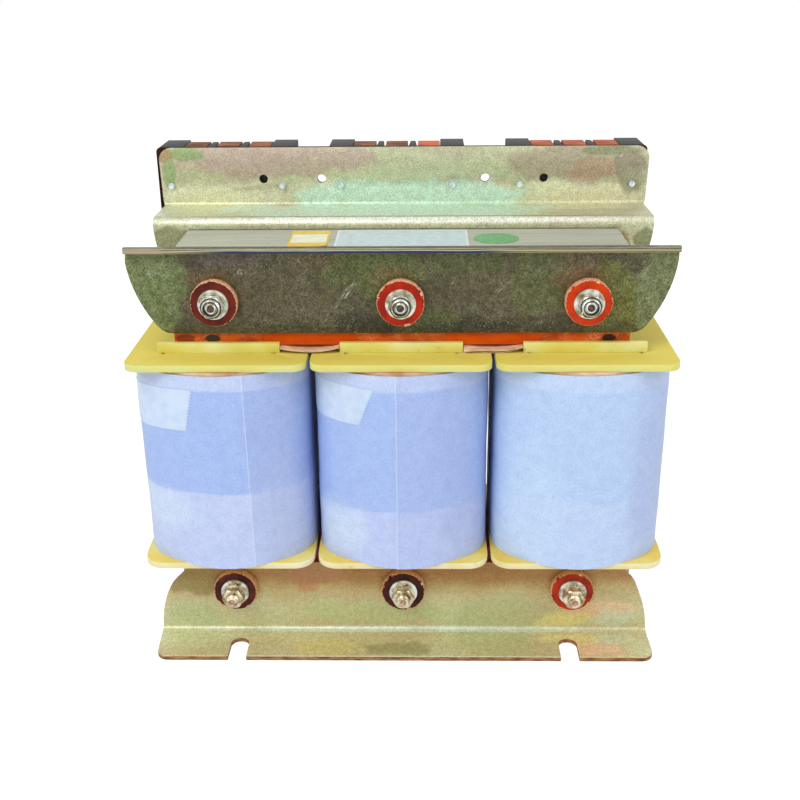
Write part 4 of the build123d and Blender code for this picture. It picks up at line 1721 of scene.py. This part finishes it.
@dataclass
class Clamp:
    """One folded clamp, with sheared edges of another shade than its faces."""

    node: str
    finish: ChromatedZinc
    edge: Finish
    wall: float
    fold: float
    trim: EndTrim | None = None
    width: float = 0.35
    bend: float = 6.0
    core: float = 1.2

    def build(self) -> None:
        """Models the clamp with eased edges."""
        copy = Workpiece.copy_of(f"{self.node}_eased", self.node)
        if self.trim:
            copy.move_vertices(self.trim.apply)
        copy.ease(self.width)
        copy.dress(self.finish, Slot.ZINC_CLAMP, [self.node], self.edge, self.is_cut)

    def is_cut(self, face: bpy.types.MeshPolygon) -> bool:
        """Whether a face lies in the thickness of the sheet.

        Args:
            face: A face of the clamp.

        Returns:
            True at a cut edge.
        """
        if abs(face.normal.x) > 0.7:
            return True
        from_wall = abs(face.center.y / MM - CORE_Y - self.wall)
        from_fold = abs(face.center.z / MM - self.fold)
        if from_fold > self.bend and from_wall < 3.0:
            return from_wall < self.core
        return from_fold < self.core and from_wall > self.bend


@dataclass
class Studio:
    """Pale floor, soft light and the camera."""

    lens: float = 49.69
    shift: float = -0.00371
    spot: tuple[float, float, float] = (14.3, -698.8, 437.4)
    pitch: float = 22.45
    heading: float = 1.21
    roll: float = -0.52
    room_level: float = 0.6
    floor_glow: float = 1.5
    floor_share: float = 0.6

    def build(self) -> None:
        """Sets floor, world, lamps and camera."""
        self.lay_floor()
        self.light_world()
        self.hang_lamp("key", (-700.0, -900.0, 1300.0), 900.0, 12.5)
        self.hang_lamp("fill", (900.0, -500.0, 700.0), 700.0, 3.0)
        self.place_camera()
        bpy.context.scene.view_settings.view_transform = "Standard"

    def lay_floor(self) -> None:
        """Lays a plain pale floor that shows white and keeps the object's shadow."""
        clear_bench()
        place = (0, 0, -0.3 * MM)
        bpy.ops.mesh.primitive_circle_add(vertices=96, radius=4.0, fill_type="NGON", location=place)
        floor = bpy.context.object
        floor.name = "floor"
        material = bpy.data.materials.new("floor_paint")
        material.use_nodes = True
        recipe = Recipe(material.node_tree)
        paint = recipe.add("BsdfDiffuse", {"Color": linear("#F2F2F0")})
        glow = recipe.add("Emission", {"Color": (1, 1, 1, 1), "Strength": self.floor_glow})
        seen = recipe.add("LightPath").outputs["Is Camera Ray"]
        share = recipe.add("Math", {0: seen, 1: self.floor_share}, operation="MULTIPLY").outputs[0]
        mixed = recipe.add("MixShader", {0: share, 1: paint.outputs[0], 2: glow.outputs[0]})
        recipe.add("OutputMaterial", {"Surface": mixed.outputs[0]})
        floor.data.materials.append(material)

    def light_world(self) -> None:
        """Surrounds the object with an even room that is white where it is seen or mirrored."""
        world = bpy.data.worlds.new("room")
        world.use_nodes = True
        recipe = Recipe(world.node_tree)
        path = recipe.add("LightPath").outputs
        rays = {0: path["Is Glossy Ray"], 1: path["Is Transmission Ray"]}
        mirrored = recipe.add("Math", rays, operation="MAXIMUM").outputs[0]
        seen = recipe.add("Math", {0: path["Is Camera Ray"], 1: mirrored}, operation="MAXIMUM").outputs[0]
        level = recipe.add("MapRange", {0: seen, 3: self.room_level, 4: 1.0}).outputs[0]
        glow = recipe.add("Background", {0: (1, 1, 1, 1), 1: level}).outputs[0]
        recipe.add("OutputWorld", {0: glow})
        bpy.context.scene.world = world

    @staticmethod
    def hang_lamp(name: str, place: Sequence[float], size: float, power: float) -> None:
        """Hangs a soft square lamp that looks at the object.

        Args:
            name: Name of the lamp.
            place: Where it hangs, in millimetres.
            size: Length of its side, in millimetres.
            power: Its power in watts.
        """
        lamp = bpy.data.lights.new(name, "AREA")
        lamp.size = size * MM
        lamp.energy = power
        obj = bpy.data.objects.new(name, lamp)
        bpy.context.scene.collection.objects.link(obj)
        obj.location = [part * MM for part in place]
        aim = Vector((0.0, CORE_Y * MM, 0.15)) - obj.location
        obj.rotation_euler = aim.to_track_quat("-Z", "Y").to_euler()

    def place_camera(self) -> None:
        """Sets the camera where the photograph was taken from."""
        data = bpy.data.cameras.new("camera")
        data.sensor_width = 36.0
        data.lens = self.lens
        data.shift_x = self.shift
        data.clip_start = 0.01
        camera = bpy.data.objects.new("camera", data)
        bpy.context.scene.collection.objects.link(camera)
        turn = (
            Matrix.Rotation(math.radians(self.heading), 4, "Z")
            @ Matrix.Rotation(math.radians(90.0 - self.pitch), 4, "X")
            @ Matrix.Rotation(math.radians(self.roll), 4, "Z")
        )
        camera.matrix_world = Matrix.Translation([part * MM for part in self.spot]) @ turn
        bpy.context.scene.camera = camera


# What this reactor has

# Front of the upper clamp: its dark tones are a painted reflection of a dark room, and the wall is darker
# towards its bottom
FRONT_UPPER = ChromatedZinc(
    "zinc_upper_front",
    ("#58533A", "#69634A", "#736C4E"),
    (
        Tint("#889A62", (-158, -58, 250), (27, 40, 36), 0.85),
        Tint("#76844C", (85, -58, 250), (22, 40, 24), 0.5),
        Tint("#82853E", (128, -58, 238), (24, 40, 24), 0.85),
        Tint("#8E9868", (160, -58, 248), (22, 40, 38), 0.9),
        Tint("#4C4834", (30, -58, 219), (140, 40, 10), 0.6),
        Tint("#6E7A42", (-18, -58, 258), (34, 40, 20), 0.75),
        Tint("#6A7644", (40, -58, 262), (26, 40, 9), 0.6),
        Tint("#7C716C", (-102, -58, 264), (24, 40, 6), 0.6),
        Tint("#7C6A4A", (-52, -58, 264), (18, 40, 8), 0.5),
        Tint("#857456", (106, -58, 262), (16, 40, 7), 0.5),
        Tint("#67743E", (16, -58, 226), (18, 40, 12), 0.6),
        Tint("#3C3828", (-20, -58, 221), (24, 40, 10), 0.6),
        Tint("#3C3A2A", (38, -58, 219), (32, 40, 7), 0.6),
        Tint("#9A6A44", (-119, -58, 251), (15, 40, 8), 0.3, 0.3),
        Tint("#9C7450", (-7, -58, 252), (15, 40, 7), 0.3, 0.3),
        Tint("#9A6E4C", (106, -58, 251), (17, 40, 8), 0.45, 0.3),
    ),
    (
        Scrape((-31.0, 244.0), (9.5, 3.0), 48.0, 1.0),
        Scrape((-38.0, 236.0), (6.0, 1.4), 56.0, 0.7),
        Scrape((-45.0, 227.0), (5.0, 1.2), 62.0, 0.5),
        Scrape((-150.0, 255.0), (5.0, 3.2), -20.0, 0.6),
        Scrape((-142.0, 262.0), (7.0, 2.0), 30.0, 0.5),
        Scrape((-96.0, 256.0), (3.0, 3.4), 70.0, 0.6),
        Scrape((-140.0, 229.0), (5.0, 2.4), -60.0, 0.5),
        Scrape((32.0, 250.0), (5.0, 1.6), 52.0, 0.5),
        Scrape((62.0, 246.0), (9.0, 2.4), 35.0, 0.45),
        Scrape((86.0, 226.0), (7.0, 2.0), 65.0, 0.45),
        Scrape((147.0, 256.0), (8.0, 1.6), 50.0, 0.6),
        Scrape((136.0, 250.0), (4.0, 2.4), 60.0, 0.5),
    ),
    mark="#C2C2A8",
    marked=0.09,
    strokes=0.42,
    specks=0.65,
    mottled=0.7,
    grain_shade="#827D68",
)
REAR_UPPER = ChromatedZinc(
    "zinc_upper_rear",
    ("#CDC4A8", "#D5D8B2", "#DEE4BC"),
    (
        Tint("#D3BFB0", (-95, 54, 302), (86, 20, 12), 0.9),
        Tint("#C3B7A0", (120, 54, 300), (52, 20, 14), 0.8),
        Tint("#CEF6E0", (0, 54, 279), (84, 24, 11), 0.75),
        Tint("#DDE6BE", (20, 54, 298), (56, 20, 10), 0.65),
        Tint("#EAECC2", (-128, 54, 276), (40, 24, 9), 0.8),
        Tint("#EAE8BE", (120, 54, 277), (44, 24, 9), 0.75),
        Tint("#DEFAE6", (-20, 34, 272), (130, 24, 4), 0.8),
        Tint("#8E9064", (-150, 15, 254), (40, 30, 12), 0.8),
        # Brown at the right end of the wall under the shelf: a painted reflection of the yoke's end
        Tint("#A88E66", (140, 15, 254), (10, 30, 12), 0.8),
        Tint("#84885A", (160, 15, 254), (10, 30, 12), 0.8),
        # Painted highlight along the wall's top bend, with a painted dark line beside it on the shelf
        Tint("#8C8C62", (0, 18.2, 272), (190, 1.2, 3.0), 0.7, 0.2, 0.2),
        Tint("#FBFCF0", (0, 14.2, 271), (190, 2.6, 3.0), 0.95, 0.2, 0.2),
        Tint("#9FBC7E", (-148, 54, 306), (16, 20, 6), 0.85),
        Tint("#9FBC7E", (-160, 54, 294), (5, 20, 12), 0.8),
        Tint("#B99A6C", (-163, 54, 306), (8, 20, 6), 0.8),
        Tint("#8F9C70", (140, 54, 308), (26, 20, 4), 0.7),
        Tint("#98907A", (154, 54, 292), (12, 20, 16), 0.6),
        Tint("#CDA98C", (128, 54, 296), (18, 20, 8), 0.6),
    ),
    (
        Scrape((-112.0, 304.0), (4.0, 1.6), -50.0, 0.5),
        Scrape((-58.0, 305.0), (6.0, 2.0), 40.0, 0.5),
        Scrape((148.0, 306.0), (5.0, 1.8), 50.0, 0.5),
    ),
    metallic=0.3,
    mark="#F2F0E2",
    pit="#7E7650",
    specks=0.5,
    mottled=0.3,
    grain_shade="#BDB9A6",
    shift=4.0,
)
FRONT_LOWER = ChromatedZinc(
    "zinc_lower_front",
    ("#D3C698", "#DAD2A2", "#DCDEB0"),
    (
        Tint("#D0B474", (0, -58, 52), (300, 40, 24), 0.8, 0.25, 0.6),
        Tint("#B98850", (0, -58, 54), (300, 40, 17), 0.9, 0.2, 0.6),
        Tint("#C48E66", (-62, -58, 47), (26, 40, 12), 0.7),
        Tint("#D8946A", (-64, -58, 36), (8, 20, 4), 0.6, 0.2),
        Tint("#B27C46", (20, -58, 50), (60, 40, 6), 0.7),
        Tint("#F8D2AA", (128, -58, 19), (25, 10, 8), 0.8, 0.15, 2.4),
        Tint("#F0E690", (110, -58, 11.5), (24, 8, 6), 0.7, 0.15, 2.4),
        Tint("#DEEAD0", (142, -58, 11), (16, 8, 7), 0.55, 0.15, 2.4),
        Tint("#F0E69A", (116, -69, 2), (20, 7, 8), 0.7, 0.15, 2.4),
        Tint("#FFD6B2", (124, -80, 2), (23, 11, 8), 0.8, 0.15, 2.4),
        Tint("#DEEAD0", (140, -69, 2), (14, 8, 8), 0.5, 0.15, 2.4),
        Tint("#CCDC9C", (-20, -62, 16), (56, 30, 10), 0.6),
        Tint("#E2D58E", (-52, -80, 3), (26, 12, 8), 0.7),
        Tint("#C6CC94", (62, -62, 12), (34, 40, 22), 0.6),
        Tint("#C6D2A0", (-140, -62, 14), (26, 40, 10), 0.6),
        Tint("#96945A", (-4, -83, 3), (30, 9, 12), 0.6, 0.2, 2.2),
        Tint("#A08C50", (-140, -58, 42), (22, 20, 14), 0.75),
        # Painted highlights along the fold and along the foot's front edge
        Tint("#E6F2E6", (0, -60.5, 4.4), (190, 2.6, 2.6), 0.9, 0.2, 0.3),
        Tint("#F4F6E4", (0, -90.6, 3), (190, 0.8, 3.0), 0.9, 0.2, 0.2),
    ),
    metallic=0.3,
    mark="#E6E2C4",
    pit="#5C5436",
    specks=0.3,
    mottled=0.25,
    grain_shade="#CDCABA",
    shift=9.0,
)
REAR_LOWER = ChromatedZinc("zinc_lower_rear", ("#D3C98A", "#DAD696", "#E0E0A2"), metallic=0.3, shift=14.0)

# The tints that make each film darker and greyer towards its coil's right side are painted shade
LEFT_FILM = WrapFilm(
    "film_left",
    "#A9C1F2",
    "#C8D6F6",
    "#C6D3F6",
    (119.5, 188.0),
    (
        Tint("#D0E1F8", (-113 - 38, -66, 105), (22, 40, 17), 0.9, 0.3, 1.0),
        Tint("#BCC8E8", (-113 + 40, -66, 100), (22, 40, 60), 0.5, 0.3, 1.0),
        Tint("#9FB4E6", (-113 + 38, -66, 160), (24, 40, 40), 0.5, 0.3, 1.0),
    ),
    (-113 + 16.8, -113 + 18.4),
)
MIDDLE_FILM = WrapFilm(
    "film_middle",
    "#AAC2F2",
    "#C8D6F6",
    "#C2D0F6",
    (107.0, 188.0),
    (
        Tint("#D0E1F8", (-38, -66, 90), (20, 40, 19), 0.9, 0.3, 1.0),
        Tint("#9FB4E6", (40, -66, 150), (24, 40, 60), 0.5, 0.3, 1.0),
        Tint("#B4BEE2", (42, -66, 92), (20, 40, 24), 0.5, 0.3, 1.0),
    ),
    (-3.0, -3.0),
    shift=3.0,
)
RIGHT_FILM = WrapFilm(
    "film_right",
    "#BCD4F6",
    "#C6DAF8",
    "#C4D8F8",
    (112.0, 188.0),
    (
        Tint("#C8E0FA", (113 - 30, -66, 100), (24, 40, 50), 0.7, 0.3, 1.0),
        Tint("#AFBEE6", (113 + 44, -66, 130), (16, 40, 80), 0.6, 0.3, 1.0),
    ),
    shift=6.0,
)

COILS = (
    CoilWrap(
        "left", LEFT_FILM, 17.3, (TapeEnd(189.4, -12.1, -17.3, -104.0, 27.5, 4.0),), 1.0
    ),
    CoilWrap(
        "middle", MIDDLE_FILM, -3.0, (TapeEnd(189.0, -14.9, -23.6, -96.0, 24.5, -4.0),), 2.0
    ),
    CoilWrap("right", RIGHT_FILM, None, (), 3.0),
)
WASHERS = (
    InsulatingWashers(
        "upper",
        {
            "left": FibreWasher("fibre_oxblood", "#6C200F", "#4A150A"),
            "middle": FibreWasher("fibre_scarlet", "#BE2800", "#981B00"),
            "right": FibreWasher("fibre_orange", "#D43A00", "#B02A00"),
        },
    ),
    InsulatingWashers(
        "lower",
        {
            "left": FibreWasher("fibre_brown", "#64221A", "#3E130E"),
            "middle": FibreWasher("fibre_umber", "#4E1C16", "#33100C"),
            "right": FibreWasher("fibre_vermilion", "#BE3208", "#8E2408"),
        },
    ),
)
BOLTS = (Bolts("upper", 51.6, 52.7), Bolts("lower", 53.1, 57.1, finish=GOLD_ZINC, middle=BRONZED))
STACKS = (
    SheetStack("upper_sheet_stack", "upper_yoke", 210.0, 5),
    SheetStack("lower_sheet_stack", "lower_yoke", 8.5, 6),
)
STICKERS = (
    Sticker(
        "sticker_main",
        LabelPaper("sticker_pale", "#E0E8E6", "#C8DAE0", (-41.8, -47.0), (42.0, 8.0), (1.4, 1.4)),
        (-41.8, -26.0),
        (42.0, 29.0),
        1.2,
    ),
    Sticker(
        "sticker_yellow",
        LabelPaper("sticker_yellow", "#EFC62E", "#EFF2DE", (-71.0, -33.0), (-46.3, 6.0), (1.2, 9.0)),
        (-71.0, -12.0),
        (-46.3, 27.0),
        1.0,
    ),
    Sticker(
        "sticker_round",
        Plain("sticker_green", "#68AE70", "#4C965A", 0.35),
        (45.5, -7.0),
        (74.0, 19.5),
        13.0,
        0.0,
    ),
)
PAPERS = (
    WindowPaper("left", -56.5, (2.4, 2.7), 0.6),
    WindowPaper("right", 56.5, (2.1, 3.4), 4.5),
)
LOWER_FLANGES = tuple(LowerFlange(side) for side in LEG_X)
LIP_ENDS = EndTrim(((262.0, 0.0), (268.0, -1.1)), ((262.0, 0.0), (268.0, 0.5)))
SHELF_ENDS = EndTrim(
    ((240.0, 1.0), (262.0, 1.6), (272.0, 1.6), (277.0, 0.0)),
    ((262.0, 1.8), (272.0, 1.8), (277.0, 0.0)),
)
FOOT_ENDS = EndTrim(
    ((3.0, 0.5), (33.0, 0.0), (39.0, 0.7), (45.5, 3.2), (50.0, 5.4), (62.0, 9.0)),
    ((3.0, -1.1), (33.0, -1.1), (39.0, -0.6), (45.5, 1.5), (50.0, 3.1), (62.0, 6.0)),
    1.6,
)
CLAMPS = (
    Clamp("upper_front_clamp", FRONT_UPPER, LIP_EDGE, -35.5, 270.5, LIP_ENDS),
    Clamp("upper_rear_clamp", REAR_UPPER, HIGHLIT_CUT_EDGE, 35.5, 270.5, SHELF_ENDS),
    Clamp("lower_front_clamp", FRONT_LOWER, CUT_BROWN, -35.5, 1.5, FOOT_ENDS),
    Clamp("lower_rear_clamp", REAR_LOWER, CUT_BROWN, 35.5, 1.5),
)
EASED = (
    EasedCopies(per_side("upper_flange"), LAMINATE, Slot.BOBBIN_LAMINATE, 0.5, PALE_LAMINATE, is_upright),
    EasedCopies(per_side("bobbin_bars"), BAR_LAMINATE, Slot.BOBBIN_LAMINATE, 0.35),
    EasedCopies(per_side("terminal_block"), MOULDED, Slot.BLOCK_MOULDING, 0.25),
    EasedCopies(("terminal_conductors_left",), DARK_COPPER, Slot.TERMINAL_COPPER, 0.2),
    EasedCopies(
        ("terminal_conductors_middle",),
        DARK_COPPER,
        Slot.TERMINAL_COPPER,
        0.2,
        COPPER,
        lambda face: face.center.x > BRIGHT_POLE_X * MM,
    ),
    EasedCopies(("terminal_conductors_right",), COPPER, Slot.TERMINAL_COPPER, 0.2),
    EasedCopies(
        ("lock_nuts",),
        ZINC_BRIGHT,
        Slot.FASTENER_STEEL,
        0.12,
        LOCK_RING,
        lambda face: from_bolt(face) < LOCK_RING_RADIUS,
    ),
    EasedCopies(("lower_nuts", "spring_washers"), GOLD_ZINC, Slot.FASTENER_STEEL, 0.12),
    EasedCopies(("upper_steel_washers", "lower_steel_washers"), ZINC_BRIGHT, Slot.FASTENER_STEEL, 0.15),
    EasedCopies(("upper_leg_boards",), WORN_BOARD, Slot.RED_BOARD, 0.2, BOARD_TOP, on_yoke_top),
    EasedCopies(
        ("upper_window_channel_left", "upper_window_channel_right"),
        CLEAN_BOARD,
        Slot.RED_BOARD,
        0.15,
        BOARD_TOP,
        on_yoke_top,
    ),
)
CARRIED_OVER: dict[Finish, tuple[str, ...]] = {
    SHADED_BOARD: ("lower_window_channel_left", "lower_window_channel_right", "lower_leg_boards"),
    SHEET_STEEL: per_side("leg"),
    GAP_RESIN: ("gap_plates",),
    WIRE: per_side("winding"),
    LAMINATE: per_side("bobbin_tube"),
    TUBE_PLASTIC: ("upper_sleeves", "lower_sleeves"),
    SHADED_TERMINAL_BOARD: ("terminal_board",),
    ZINC_BRIGHT: ("terminal_screws",),
    TIP_ZINC: ("block_screws",),
    COPPER: per_side("tap_strips"),
}


def dress_carried_over() -> None:
    """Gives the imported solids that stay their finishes."""
    for finish, nodes in CARRIED_OVER.items():
        for node in nodes:
            materials = frame["nodes"][node].data.materials
            if not materials:
                materials.append(None)
            for index in range(len(materials)):
                materials[index] = finish.material()
            log.info("%s: %s", node, finish.name)


def main() -> None:
    """Builds every sub-assembly in order."""
    logging.basicConfig(level=logging.INFO, format="%(message)s")
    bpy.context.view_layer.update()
    dress_carried_over()
    groups = (COILS, WASHERS, BOLTS, STACKS, STICKERS, PAPERS, LOWER_FLANGES, CLAMPS, EASED, (Studio(),))
    for group in groups:
        for assembly in group:
            assembly.build()
    clear_bench()


if __name__ == "__main__":
    main()
